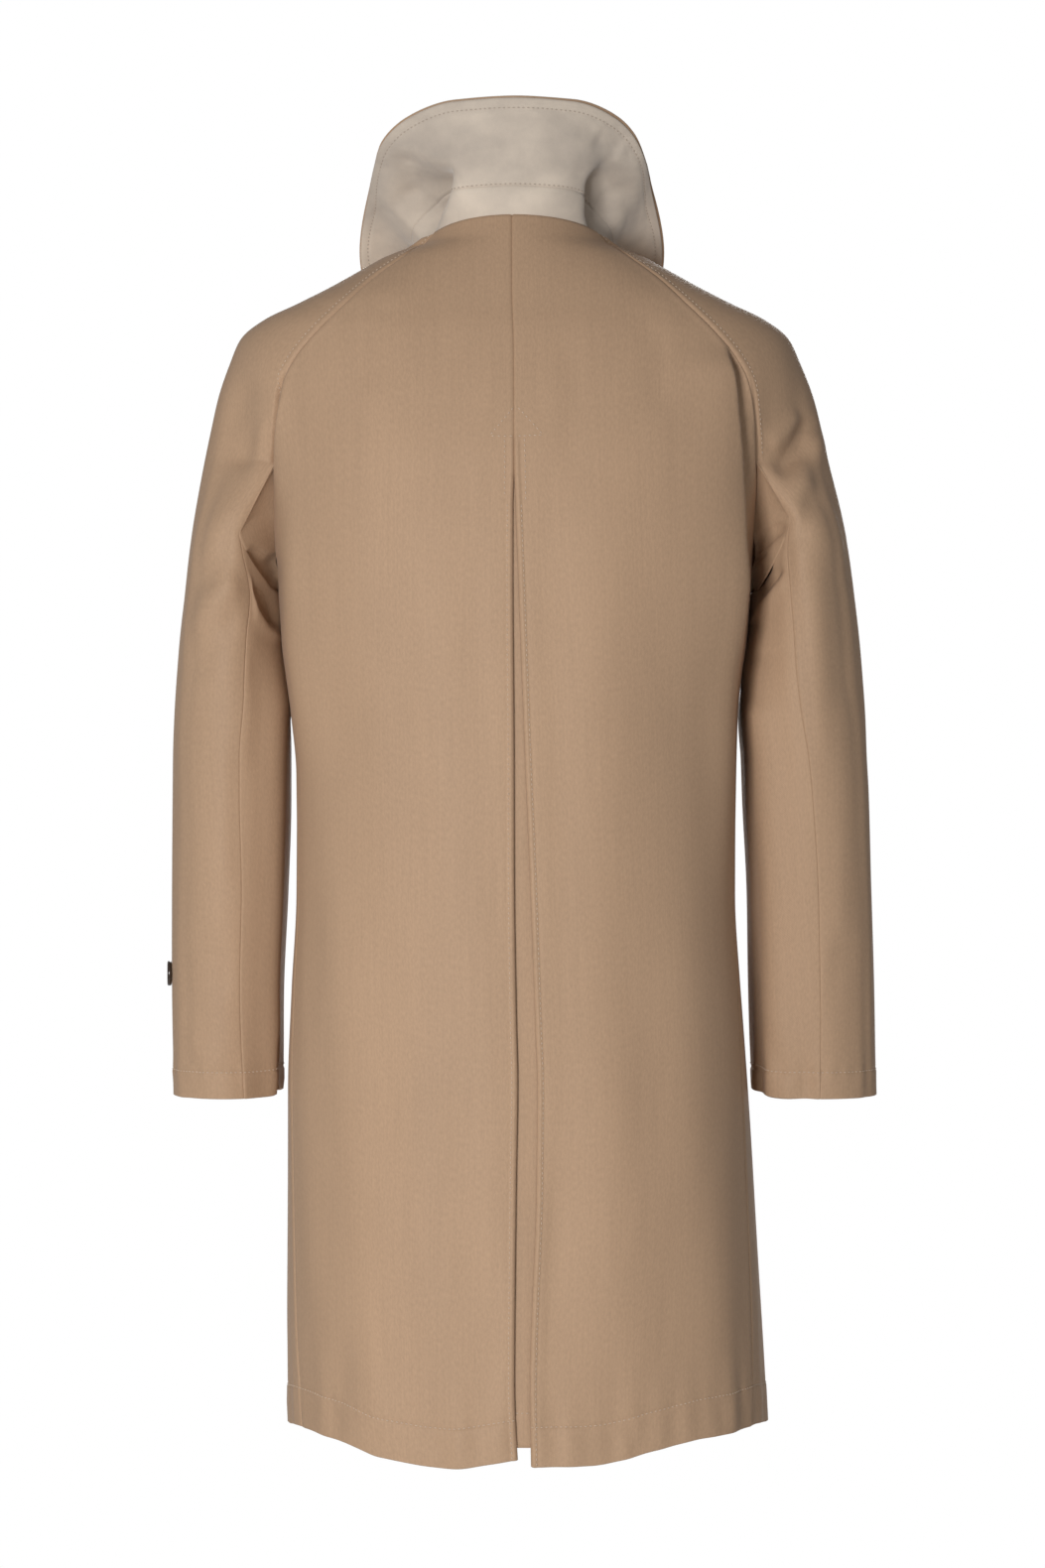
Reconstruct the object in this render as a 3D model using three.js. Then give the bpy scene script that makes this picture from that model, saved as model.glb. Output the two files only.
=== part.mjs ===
// A knee-length raincoat, filled out as when it is worn, with its suede-backed collar turned up.
// Millimetres, +Z up. The origin is the middle of the neck on the shoulder line. The front faces
// -Y, so the wearer's left is +X. "Down" is measured from the top of the back neck seam, "across"
// from the middle of the coat, and "turn" goes round the body from the middle of the back (0)
// over the side (90) to the middle of the front (180).

import * as THREE from 'three';

// Driving dimensions.
const NECK_SEAM_HEIGHT = 22;
const CLOTH = 1.6;
const SUEDE = 1.4;
const UPPER_COLLAR = 1.2;
const SEAM_GAP = 0.3;
const LAYER_GAP = 0.8;
const COLLAR_GAP = 0.4;
const COLLAR_FOOT_LIFT = 1;
const BACK_NECK_DROP = 9;
const FRONT_NECK_DOWN = 80;
const ARMHOLE_DOWN = 297;
const CUFF_DOWN = 698;
const CUFF_RISE = 4;
const FRONT_WRAP = 22;
const WRAP_BLEND = { from: 27, to: 50 };
const UNDERLAY = { top: 192, bottom: 953, left: 44, right: 58, inset: CLOTH + LAYER_GAP };
const BUTTON = { radius: 10, thickness: 4, bevel: 1, dish: 7, dishDepth: 1, lift: 0.6, sides: 16 };
const FRONT_BUTTONS = { count: 5, first: 112, spacing: 118 };
const SLEEVE_BUTTONS = { down: 600, turn: { left: 6, right: -48 } };

// The gusset: its wall, how far its edges are pulled off the seams and at most what share of the
// bridge that takes, its arch as a share of the bridge and in all, and how much of the first step
// its pointed ends give up.
const GUSSET = {
  wall: 1,
  pull: { body: 1.9, sleeve: 3 },
  mostPull: { body: 0.4, sleeve: 0.45 },
  arch: 0.16,
  lift: 1.7,
  endShare: 0.7,
};

// The most of a grid's step that the gap at a seam takes.
const MOST_TRIM = 0.3;

// Grid steps.
const RAGLAN_STEPS = 12;
const GUSSET_STEPS = 3;
const UNDER_STEPS = 4;
const SIDE_STEPS = 11;
const ARM_STEPS = 11;
const PANEL_COLUMNS = 9;
const SLEEVE_ARC = 6;
const COLLAR_COLUMNS = 36;
const COLLAR_STEPS = 9;
const STAND_STEPS = 3;
const GUSSET_COLUMNS = 4;
const UNDERLAY_ROWS = 16;
const UNDERLAY_COLUMNS = 8;
const FINE = 5;

// Stations of the sleeve tables: the raglan seam ends, then the gusset's corner. The sleeve takes
// the shape of its rings from a little before the seam's end.
const RAGLAN_END = 9;
const GUSSET_CORNER = 11;
const RING_START = 7;

// The body's sections: half widths on each side, how far the back and the front reach, the middle
// line between them, and the squareness, where 2 is an ellipse.
const BODY = table(['down', 'left', 'right', 'back', 'front', 'middle', 'square'], [
  [-2, 66, 66, 79, -16, 12, 2.0],
  [15, 74, 74, 88, -22, 12, 2.0],
  [30, 116, 114, 95, -28, 11, 2.0],
  [50, 160, 159, 104, -38, 10, 2.05],
  [72, 206, 204, 113, -49, 9, 2.1],
  [91, 222, 221, 121, -64, 8, 2.15],
  [113, 226, 226, 128, -83, 7, 2.2],
  [150, 214, 214, 138, -108, 4, 2.35],
  [200, 198, 198, 147, -130, 0, 2.6],
  [260, 190, 190, 151, -142, 0, 2.7],
  [300, 189.2, 187.6, 151, -144, 0, 2.65],
  [330, 188, 185.2, 151, -146, 0, 2.6],
  [360, 184.4, 180.9, 151, -146, 0, 2.55],
  [390, 180.4, 178, 150, -146, 0, 2.5],
  [440, 176, 176.6, 150, -146, 0, 2.5],
  [535, 176.6, 176, 151, -147, 0, 2.45],
  [615, 181, 181, 153, -150, 0, 2.4],
  [695, 184, 186, 156, -154, 0, 2.35],
  [775, 184, 191, 159, -158, 0, 2.3],
  [855, 184, 196, 162, -162, 0, 2.25],
  [969, 182, 202, 166, -168, 0, 2.2],
]);

// Where the two back panels meet, and from the stitched triangle down the vent's folded edges.
const VENT = table(['down', 'left', 'right'], [
  [0, 3.2, 3.2],
  [60, 3.0, 3.0],
  [110, 1.6, 1.6],
  [200, 1.2, 1.2],
  [232, 2.2, 0],
  [303, 2.3, -2.6],
  [409, 1.6, -6.6],
  [522, 1.3, -11.5],
  [627, -0.3, -15.3],
  [670, -1.3, -16.8],
  [743, -0.2, -16.2],
  [895, 1.2, -11.2],
  [970, -2.6, -12.4],
]);

// The hem's drop at each turn.
const HEM = table(['turn', 'left', 'right'], [
  [0, 962, 967],
  [14, 969, 967],
  [30, 964, 958],
  [45, 956, 952],
  [66, 952, 951],
  [90, 959, 958],
  [135, 963, 962],
  [180, 961, 961],
]);

const SIDE_SEAM = table(['down', 'turn'], [
  [ARMHOLE_DOWN, 90],
  [380, 84],
  [520, 77],
  [700, 73],
  [880, 69],
  [970, 65],
]);
const SIDE_HEM_TURN = 66;

// How the armhole's edge leads round to the side, and how the under sleeve's top is arched and
// raised over it.
const ARMHOLE_LEAD = 0.85;
const UNDER_ARCH = 0.8;
const UNDER_RAISE = 3;

// The raglan seams on the back and front and the sleeve's ridge between them, then the ridge as
// far as the gusset's corner.
const RAGLAN = table(
  [
    'station', 'backDown', 'backAcross', 'frontDown', 'frontAcross',
    'ridgeDown', 'ridgeLeft', 'ridgeRight', 'ridgeMiddle',
  ],
  [
    [0, 9, 66, 42, 58, 13, 78, 75, 14],
    [1, 29, 87, 58, 80, 32, 110, 107, 12],
    [2, 49, 112, 77, 104, 52, 143, 140, 11],
    [3, 71, 134, 97, 126, 68, 175, 172, 10],
    [4, 90, 153, 116, 145, 79, 203, 200.2, 8],
    [5, 112, 172, 135, 161, 91, 220, 217.8, 6],
    [6, 132, 183, 152, 173, 112, 230, 228.5, 4],
    [7, 150, 187, 167, 180, 136, 239, 238.2, 2],
    [8, 172, 189, 183, 185, 164, 246, 245.8, 1],
    [9, 194, 189.5, 200, 187, 192, 252, 252, 0],
    [10, 194, 189.5, 200, 187, 221, 257, 259, 0],
    [11, 194, 189.5, 200, 187, 250, 261.5, 265.5, 0],
  ],
);

// The sleeve's rings: its outer and inner edge on each side, the middle and half of its depth, and
// how far round from the outer edge its back seam lies.
const ARM = table(
  ['down', 'outerLeft', 'innerLeft', 'outerRight', 'innerRight', 'middle', 'depth', 'seamLeft', 'seamRight'],
  [
    [232, 258, 196, 260, 196, 0, 76, 104, 112],
    [262, 263, 194, 267, 194, -1, 75, 112, 117],
    [297, 267, 192.2, 272, 191, -2, 73, 122, 112],
    [330, 271, 189.6, 276, 187, -3, 71, 116, 106],
    [360, 273.5, 186, 278.7, 182.6, -3, 69, 111, 101],
    [390, 275.5, 182.6, 281, 180.4, -4, 67, 107, 96],
    [426, 276.8, 182.8, 283, 183.6, -6, 65, 104, 92],
    [455, 277, 183, 285, 184.6, -7, 63, 104, 90],
    [535, 277.5, 186, 288, 189, -11, 59, 108, 88],
    [615, 278, 190, 290.5, 191, -16, 55, 109, 88],
    [698, 277, 191, 292, 193, -20, 52, 113, 90],
  ],
);
const FRONT_SLEEVE_SEAM = 112;
const GUSSET_CORNER_DOWN = { left: 250, right: 238 };

// Soft folds of the body's cloth: where a ridge starts and ends, how far it stands out and how wide.
const BODY_FOLDS = [
  { side: 'right', turn: [62, 66], down: [190, 470], height: 5, width: 9 },
  { side: 'left', turn: [64, 70], down: [210, 430], height: 4, width: 9 },
  { side: 'left', turn: [128, 122], down: [230, 620], height: 4, width: 10 },
  { side: 'right', turn: [126, 130], down: [230, 560], height: 4, width: 10 },
  { side: 'left', turn: [40, 34], down: [640, 1000], height: 3.5, width: 11 },
  { side: 'right', turn: [44, 52], down: [620, 1000], height: 4, width: 12 },
  { side: 'left', turn: [148, 154], down: [600, 1000], height: 3.5, width: 11 },
  { side: 'right', turn: [150, 146], down: [640, 1000], height: 3.5, width: 11 },
];
const FOLD_RISE = [0, 0.35];
const FOLD_FALL = [0.75, 1.25];

// The collar from the middle of the back (0) to the middle of the front (1): the seam on top of the
// stand, the middle of the leaf and the free edge on the left, and how wide the right is against
// it. The row below them all is the neck seam.
const COLLAR = table(
  ['run', 'seamX', 'seamY', 'seamZ', 'leafX', 'leafY', 'leafZ', 'edgeX', 'edgeY', 'edgeZ', 'right'],
  [
    [0, 0, 84, 44, 0, 90, 80, 0, 93, 111, 1],
    [0.17, 42, 74, 43, 44, 82, 79, 48, 82, 110, 0.945],
    [0.32, 68, 48, 38, 80, 56, 70, 86, 58, 99, 0.925],
    [0.46, 80, 22, 28, 98, 26, 54, 109, 28, 78, 0.912],
    [0.6, 84, -4, 16, 106, -8, 38, 119, -14, 49, 0.925],
    [0.74, 75, -28, 0, 106, -36, 18, 127, -48, 8, 0.94],
    [0.87, 50, -50, -20, 84, -66, -14, 117, -74, -34, 0.94],
    [1, 12, -65, -42, 48, -82, -46, 88, -80, -74, 0.94],
  ],
);

// How near the middle of the front the neck seam ends.
const NECK_END = 4;

// A point in each piece's hollow, which its outer face looks away from. Its x is on the left.
const INSIDE = {
  body: [0, 0, -300],
  topSleeve: [215, 0, -150],
  underSleeve: [232, 0, -450],
  gusset: [205, 0, -100],
  collar: [0, 0, 60],
};

// Colours.
const TAN = { color: 0xb39a80, roughness: 0.72, metalness: 0 };
const SUEDE_GREY = { color: 0xc4b7aa, roughness: 0.95, metalness: 0 };
const BUTTON_BROWN = { color: 0x2a211c, roughness: 0.35, metalness: 0 };

// Small maths.

const radians = THREE.MathUtils.degToRad;
const mix = THREE.MathUtils.lerp;

function smooth(value, from, to) {
  return THREE.MathUtils.smoothstep(value, from, to);
}

// A smooth curve through the values at the keys, with no overshoot, straight beyond its ends.
function curveThrough(keys, values) {
  const last = keys.length - 1;
  const rise = [];
  for (let i = 0; i < last; i += 1) {
    rise.push((values[i + 1] - values[i]) / (keys[i + 1] - keys[i]));
  }
  const slope = values.map((value, i) => {
    if (i === 0) return rise[0];
    if (i === last) return rise[last - 1];
    if (rise[i - 1] * rise[i] <= 0) return 0;
    const before = keys[i] - keys[i - 1];
    const after = keys[i + 1] - keys[i];
    const weight = 3 * (before + after);
    return weight / ((2 * after + before) / rise[i - 1] + (after + 2 * before) / rise[i]);
  });
  return (key) => {
    if (key <= keys[0]) return values[0] + slope[0] * (key - keys[0]);
    if (key >= keys[last]) return values[last] + slope[last] * (key - keys[last]);
    const i = keys.findIndex((end, k) => k > 0 && key <= end) - 1;
    const step = keys[i + 1] - keys[i];
    const t = (key - keys[i]) / step;
    const bow = t * (1 - t);
    return mix(values[i], values[i + 1], t * t * (3 - 2 * t))
      + step * bow * ((1 - t) * slope[i] - t * slope[i + 1]);
  };
}

function table(names, rows) {
  const keys = rows.map((row) => row[0]);
  const curves = {};
  names.forEach((name, column) => {
    curves[name] = curveThrough(keys, rows.map((row) => row[column]));
  });
  return curves;
}

// A cubic arc between two points with the given tangents.
function arcPoint(start, leave, end, arrive, t) {
  const a = t * t * (3 - 2 * t);
  const bow = t * (1 - t);
  return start.clone().lerp(end, a)
    .addScaledVector(leave, bow * (1 - t))
    .addScaledVector(arrive, -bow * t);
}

// The tangent's length with which a cubic arc is as round as a circle's.
function roundLength(start, leave, end, arrive) {
  const bend = leave.angleTo(arrive) / 4;
  return start.distanceTo(end) / Math.cos(bend) ** 2;
}

// The point list spaced evenly along its own length.
function evenly(points, count) {
  const path = new THREE.CurvePath();
  for (let i = 1; i < points.length; i += 1) {
    path.add(new THREE.LineCurve3(points[i - 1], points[i]));
  }
  return path.getSpacedPoints(count - 1);
}

function samples(count, pointAt) {
  return Array.from({ length: count + 1 }, (_, i) => pointAt(i / count));
}

// The body's form.

const sideName = (side) => (side > 0 ? 'left' : 'right');

function bodyFold(side, down, turn) {
  let out = 0;
  BODY_FOLDS.filter((fold) => fold.side === sideName(side)).forEach((fold) => {
    const along = (down - fold.down[0]) / (fold.down[1] - fold.down[0]);
    const away = (turn - mix(fold.turn[0], fold.turn[1], along)) / fold.width;
    const fade = smooth(along, ...FOLD_RISE) * (1 - smooth(along, ...FOLD_FALL));
    out += fold.height * fade * Math.exp(-away * away);
  });
  return out;
}

// A point of the body: a section rounder or squarer than an ellipse, moved out by the folds.
function bodyPoint(side, down, turn, inset = 0) {
  const angle = radians(turn);
  const power = 2 / BODY.square(down);
  const sine = Math.sin(angle);
  const cosine = Math.cos(angle);
  const middle = BODY.middle(down);
  const half = BODY[sideName(side)](down);
  const reach = cosine > 0 ? BODY.back(down) - middle : middle - BODY.front(down);
  const out = bodyFold(side, down, turn) - inset;
  const across = (half + out) * Math.sign(sine) * Math.abs(sine) ** power;
  const depth = (reach + out) * Math.sign(cosine) * Math.abs(cosine) ** power;
  return new THREE.Vector3(side * across, middle + depth, NECK_SEAM_HEIGHT - down);
}

// The turn at which the body is so far across, on its back or its front.
function turnAt(side, down, across, front = false) {
  const share = across / BODY[sideName(side)](down);
  const turn = Math.asin(Math.sign(share) * Math.abs(share) ** (BODY.square(down) / 2));
  return front ? 180 - THREE.MathUtils.radToDeg(turn) : THREE.MathUtils.radToDeg(turn);
}

function bodyNormal(side, down, turn) {
  const step = 0.5;
  const along = bodyPoint(side, down, turn + step).sub(bodyPoint(side, down, turn - step));
  const fall = bodyPoint(side, down + step, turn).sub(bodyPoint(side, down - step, turn));
  return along.cross(fall).multiplyScalar(side).normalize();
}

// The rows of a body panel: its raglan seam, its edge at the gusset, then its side seam.
const ROWS = RAGLAN_STEPS + GUSSET_STEPS + UNDER_STEPS + SIDE_STEPS;
const GUSSET_ROW = RAGLAN_STEPS;
const SIDE_ROW = RAGLAN_STEPS + GUSSET_STEPS + UNDER_STEPS;

function raglanPlace(side, station, front) {
  const down = front ? RAGLAN.frontDown(station) : RAGLAN.backDown(station);
  const across = front ? RAGLAN.frontAcross(station) : RAGLAN.backAcross(station);
  return { down, turn: turnAt(side, down, across, front) };
}

function edgePlace(side, row, front) {
  if (row <= GUSSET_ROW) {
    return raglanPlace(side, RAGLAN_END * row / RAGLAN_STEPS, front);
  }
  const top = raglanPlace(side, RAGLAN_END, front);
  if (row <= SIDE_ROW) {
    const t = (row - GUSSET_ROW) / (SIDE_ROW - GUSSET_ROW);
    return { down: mix(top.down, ARMHOLE_DOWN, t), turn: mix(top.turn, 90, t ** ARMHOLE_LEAD) };
  }
  const t = (row - SIDE_ROW) / SIDE_STEPS;
  const turn = SIDE_SEAM.turn(mix(ARMHOLE_DOWN, HEM[sideName(side)](SIDE_HEM_TURN), t));
  return { down: mix(ARMHOLE_DOWN, HEM[sideName(side)](turn), t), turn };
}

function hemAwareDown(side, row, turn, upper) {
  if (row <= SIDE_ROW) return upper;
  const t = (row - SIDE_ROW) / SIDE_STEPS;
  return mix(ARMHOLE_DOWN, HEM[sideName(side)](Math.min(Math.max(turn, 0), 180)), t);
}

// One row of a back panel, from the middle of the back to the panel's outer edge.
function backRow(side, row, columns = PANEL_COLUMNS) {
  const edge = edgePlace(side, row, false);
  const lag = BACK_NECK_DROP * (1 - Math.min(row / RAGLAN_STEPS, 1));
  const middleDown = edge.down - lag;
  const middleTurn = turnAt(side, middleDown, side * VENT[sideName(side)](middleDown));
  const points = samples(FINE * columns, (t) => {
    const turn = mix(middleTurn, edge.turn, t);
    const down = hemAwareDown(side, row, turn, mix(middleDown, edge.down, t * t));
    return bodyPoint(side, down, turn);
  });
  return evenly(points, columns);
}

// One row of a front panel, from its outer edge past the middle of the front.
function frontRow(side, row, columns = PANEL_COLUMNS) {
  const edge = edgePlace(side, row, true);
  const lead = (FRONT_NECK_DOWN - RAGLAN.frontDown(0)) * (1 - Math.min(row / RAGLAN_STEPS, 1));
  const middleDown = edge.down + lead;
  const endTurn = turnAt(side, middleDown, -FRONT_WRAP, true);
  const points = samples(FINE * columns, (t) => {
    const turn = mix(edge.turn, endTurn, t);
    const reach = Math.min((turn - edge.turn) / (180 - edge.turn), 1);
    const upper = mix(edge.down, middleDown, 1 - (1 - reach) ** 2);
    const down = hemAwareDown(side, row, turn, upper);
    const across = side * bodyPoint(side, down, turn).x;
    const under = side < 0 ? 1 - smooth(across, WRAP_BLEND.from, WRAP_BLEND.to) : 0;
    return bodyPoint(side, down, turn, under * (CLOTH + LAYER_GAP));
  });
  return evenly(points, columns);
}

// The sleeve's form.

function ringPoint(side, down, turn) {
  const name = side > 0 ? 'Left' : 'Right';
  const outer = ARM[`outer${name}`](down);
  const inner = ARM[`inner${name}`](down);
  const angle = radians(turn);
  const across = (outer + inner) / 2 + (outer - inner) / 2 * Math.cos(angle);
  const depth = ARM.middle(down) + ARM.depth(down) * Math.sin(angle);
  return new THREE.Vector3(side * across, depth, NECK_SEAM_HEIGHT - down);
}

// The ring's tangent at a turn, as long as an arc of the given span needs.
function ringTangent(side, down, turn, span) {
  const step = 1;
  const ahead = ringPoint(side, down, turn + step);
  const length = 4 * Math.tan(radians(Math.abs(span)) / 4) / radians(2 * step);
  return ahead.sub(ringPoint(side, down, turn - step)).multiplyScalar(length * Math.sign(span));
}

const backSeamTurn = (side, down) => ARM[side > 0 ? 'seamLeft' : 'seamRight'](down);

function armDown(station, start, end = CUFF_DOWN) {
  return mix(start, end, Math.max(station - GUSSET_CORNER, 0) / ARM_STEPS);
}

// The sleeve's edge at a station: on the raglan seam, then on the gusset's, then on its own seam.
function sleeveEdge(side, station, front) {
  const corner = GUSSET_CORNER_DOWN[sideName(side)];
  const cornerTurn = front ? -FRONT_SLEEVE_SEAM : backSeamTurn(side, corner);
  if (station <= RAGLAN_END) {
    const place = raglanPlace(side, station, front);
    return bodyPoint(side, place.down, place.turn);
  }
  if (station < GUSSET_CORNER) {
    const t = (station - RAGLAN_END) / (GUSSET_CORNER - RAGLAN_END);
    return sleeveEdge(side, RAGLAN_END, front).lerp(ringPoint(side, corner, cornerTurn), t);
  }
  const down = armDown(station, corner);
  const turn = front ? -FRONT_SLEEVE_SEAM : backSeamTurn(side, down);
  return ringPoint(side, down, turn);
}

function sleeveRidge(side, station) {
  if (station <= GUSSET_CORNER) {
    const down = RAGLAN.ridgeDown(station);
    const across = RAGLAN[side > 0 ? 'ridgeLeft' : 'ridgeRight'](station);
    return new THREE.Vector3(side * across, RAGLAN.ridgeMiddle(station), NECK_SEAM_HEIGHT - down);
  }
  return ringPoint(side, armDown(station, RAGLAN.ridgeDown(GUSSET_CORNER)), 0);
}

// Half a row of the top sleeve: an arc from the ridge to its back or front edge that leaves the body
// panel in the panel's own plane and takes the ring's shape below the gusset.
function sleeveArc(side, station, front) {
  const ridge = sleeveRidge(side, station);
  const edge = sleeveEdge(side, station, front);
  const other = sleeveEdge(side, station, !front);
  const along = edge.clone().sub(other).normalize();
  const place = raglanPlace(side, Math.min(station, RAGLAN_END), front);
  const normal = bodyNormal(side, place.down, place.turn);
  const arrive = edge.clone().sub(ridge);
  arrive.addScaledVector(normal, -arrive.dot(normal)).normalize();
  const length = roundLength(ridge, along, edge, arrive);
  along.multiplyScalar(length);
  arrive.multiplyScalar(length);
  const down = armDown(station, GUSSET_CORNER_DOWN[sideName(side)]);
  const seam = front ? -FRONT_SLEEVE_SEAM : backSeamTurn(side, down);
  const ring = smooth(station, RING_START, GUSSET_CORNER);
  along.lerp(ringTangent(side, down, 0, seam), ring);
  arrive.lerp(ringTangent(side, down, seam, seam), ring);
  return (t) => arcPoint(ridge, along, edge, arrive, t);
}

// One row of the top sleeve, from its front edge over the ridge to its back edge.
function topSleeveRow(side, station) {
  const ahead = sleeveArc(side, station, true);
  const behind = sleeveArc(side, station, false);
  const front = samples(SLEEVE_ARC, (t) => ahead(1 - t));
  return front.concat(samples(SLEEVE_ARC, behind).slice(1));
}

// One row of the under sleeve, from its back edge round the inner side to its front edge.
function underSleeveRow(side, station) {
  const corner = GUSSET_CORNER_DOWN[sideName(side)];
  const edgeDown = armDown(station, corner);
  const innerDown = armDown(station, ARMHOLE_DOWN - UNDER_RAISE, CUFF_DOWN - CUFF_RISE);
  const backTurn = backSeamTurn(side, edgeDown);
  const frontTurn = 360 - FRONT_SLEEVE_SEAM;
  return samples(2 * UNDER_STEPS, (t) => {
    const turn = t < 0.5 ? mix(backTurn, 180, 2 * t) : mix(180, frontTurn, 2 * t - 1);
    const down = mix(edgeDown, innerDown, Math.sin(Math.PI * t) ** UNDER_ARCH);
    return ringPoint(side, down, turn);
  });
}

const SLEEVE_STATIONS = [
  ...samples(RAGLAN_STEPS, (t) => RAGLAN_END * t),
  ...samples(GUSSET_STEPS, (t) => mix(RAGLAN_END, GUSSET_CORNER, t)).slice(1),
  ...samples(ARM_STEPS, (t) => GUSSET_CORNER + ARM_STEPS * t).slice(1),
];

// Walls.

// The derivative of a list of points at one of them, true to the second order at the ends too.
function slopeAt(points, i) {
  const last = points.length - 1;
  if (i > 0 && i < last) return points[i + 1].clone().sub(points[i - 1]);
  const inward = i === 0 ? 1 : -1;
  return points[i].clone().multiplyScalar(-3)
    .addScaledVector(points[i + inward], 4)
    .sub(points[i + 2 * inward])
    .multiplyScalar(inward);
}

const transposed = (grid) => grid[0].map((_, j) => grid.map((row) => row[j]));

// The grid with its first and last rows moved in along the surface, square to the edge.
function trimmedRows(grid, gap) {
  const result = grid.map((row) => row.map((point) => point.clone()));
  [[0, 1], [grid.length - 1, -1]].forEach(([edge, inward]) => {
    grid[edge].forEach((point, j) => {
      const along = slopeAt(grid[edge], j).normalize();
      const move = grid[edge + inward][j].clone().sub(point);
      move.addScaledVector(along, -move.dot(along));
      move.setLength(Math.min(gap, MOST_TRIM * move.length()));
      result[edge][j].add(move);
    });
  });
  return result;
}

function trimmed(grid, gap = SEAM_GAP / 2) {
  return transposed(trimmedRows(transposed(trimmedRows(grid, gap)), gap));
}

function normalsOf(grid) {
  const columns = transposed(grid);
  return grid.map((row, i) => row.map((_, j) => slopeAt(row, j).cross(slopeAt(columns[j], i)).normalize()));
}

// The grid moved along its normals, away from the point inside by a positive distance.
function movedOut(grid, distance, inside) {
  const normals = normalsOf(grid);
  const sign = facing(grid, normals, inside);
  return grid.map((row, i) => row.map((point, j) => (
    point.clone().addScaledVector(normals[i][j], sign * distance))));
}

function facing(grid, normals, inside) {
  let sum = 0;
  grid.forEach((row, i) => row.forEach((point, j) => {
    sum += point.clone().sub(inside).dot(normals[i][j]);
  }));
  return Math.sign(sum);
}

// A closed wall between two grids of the same size, its outer face and its inner face.
function wallBetween(grid, inner) {
  const rows = grid.length;
  const columns = grid[0].length;
  const middle = grid[rows >> 1][columns >> 1];
  const thickness = middle.clone().sub(inner[rows >> 1][columns >> 1]);
  const outward = normalsOf(grid)[rows >> 1][columns >> 1].dot(thickness) > 0;
  const positions = [...grid.flat(), ...inner.flat()].flatMap((point) => point.toArray());
  const index = [];
  const quad = (a, b, c, d) => {
    index.push(...(outward ? [a, b, c, a, c, d] : [a, c, b, a, d, c]));
  };
  const outer = (i, j) => i * columns + j;
  const within = (i, j) => rows * columns + outer(i, j);
  for (let i = 0; i < rows - 1; i += 1) {
    for (let j = 0; j < columns - 1; j += 1) {
      quad(outer(i, j), outer(i, j + 1), outer(i + 1, j + 1), outer(i + 1, j));
      quad(within(i, j), within(i + 1, j), within(i + 1, j + 1), within(i, j + 1));
    }
  }
  for (let i = 0; i < rows - 1; i += 1) {
    quad(outer(i, 0), outer(i + 1, 0), within(i + 1, 0), within(i, 0));
    const far = columns - 1;
    quad(outer(i + 1, far), outer(i, far), within(i, far), within(i + 1, far));
  }
  for (let j = 0; j < columns - 1; j += 1) {
    quad(outer(0, j + 1), outer(0, j), within(0, j), within(0, j + 1));
    quad(outer(rows - 1, j), outer(rows - 1, j + 1), within(rows - 1, j + 1), within(rows - 1, j));
  }
  const geometry = new THREE.BufferGeometry();
  geometry.setAttribute('position', new THREE.Float32BufferAttribute(positions, 3));
  geometry.setIndex(index);
  return geometry;
}

function wallOf(grid, thickness, inside) {
  return wallBetween(grid, movedOut(grid, -thickness, inside));
}

// The coat.

const coat = new THREE.Group();

function add(name, geometry, finish) {
  const mesh = new THREE.Mesh(geometry, new THREE.MeshStandardMaterial(finish));
  mesh.name = name;
  coat.add(mesh);
  return mesh;
}

function insideOf(piece, side = 1) {
  const [x, y, z] = INSIDE[piece];
  return new THREE.Vector3(side * x, y, z);
}

function addBodyPanels(side) {
  const rows = Array.from({ length: ROWS + 1 }, (_, row) => row);
  const back = trimmed(rows.map((row) => backRow(side, row)));
  const front = trimmed(rows.map((row) => frontRow(side, row)));
  add(`back_${sideName(side)}`, wallOf(back, CLOTH, insideOf('body')), TAN);
  add(`front_${sideName(side)}`, wallOf(front, CLOTH, insideOf('body')), TAN);
}

// The strip of cloth that lies behind the vent's folded edges, moved in from the body's form.
function addUnderlay() {
  const downs = samples(UNDERLAY_ROWS, (t) => mix(UNDERLAY.top, UNDERLAY.bottom, t));
  const grid = downs.map((down) => samples(UNDERLAY_COLUMNS, (t) => {
    const across = mix(UNDERLAY.left, -UNDERLAY.right, t);
    const side = across > 0 ? 1 : -1;
    return bodyPoint(side, down, turnAt(side, down, Math.abs(across)));
  }));
  const within = movedOut(grid, -UNDERLAY.inset, insideOf('body'));
  add('vent_underlay', wallOf(within, CLOTH, insideOf('body')), TAN);
}

function addSleeve(side) {
  const name = sideName(side);
  const top = SLEEVE_STATIONS.map((station) => topSleeveRow(side, station));
  add(`top_sleeve_${name}`, wallOf(trimmed(top), CLOTH, insideOf('topSleeve', side)), TAN);
  const lower = SLEEVE_STATIONS.filter((station) => station >= GUSSET_CORNER);
  const under = lower.map((station) => underSleeveRow(side, station));
  add(`under_sleeve_${name}`, wallOf(trimmed(under), CLOTH, insideOf('underSleeve', side)), TAN);
}

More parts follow.
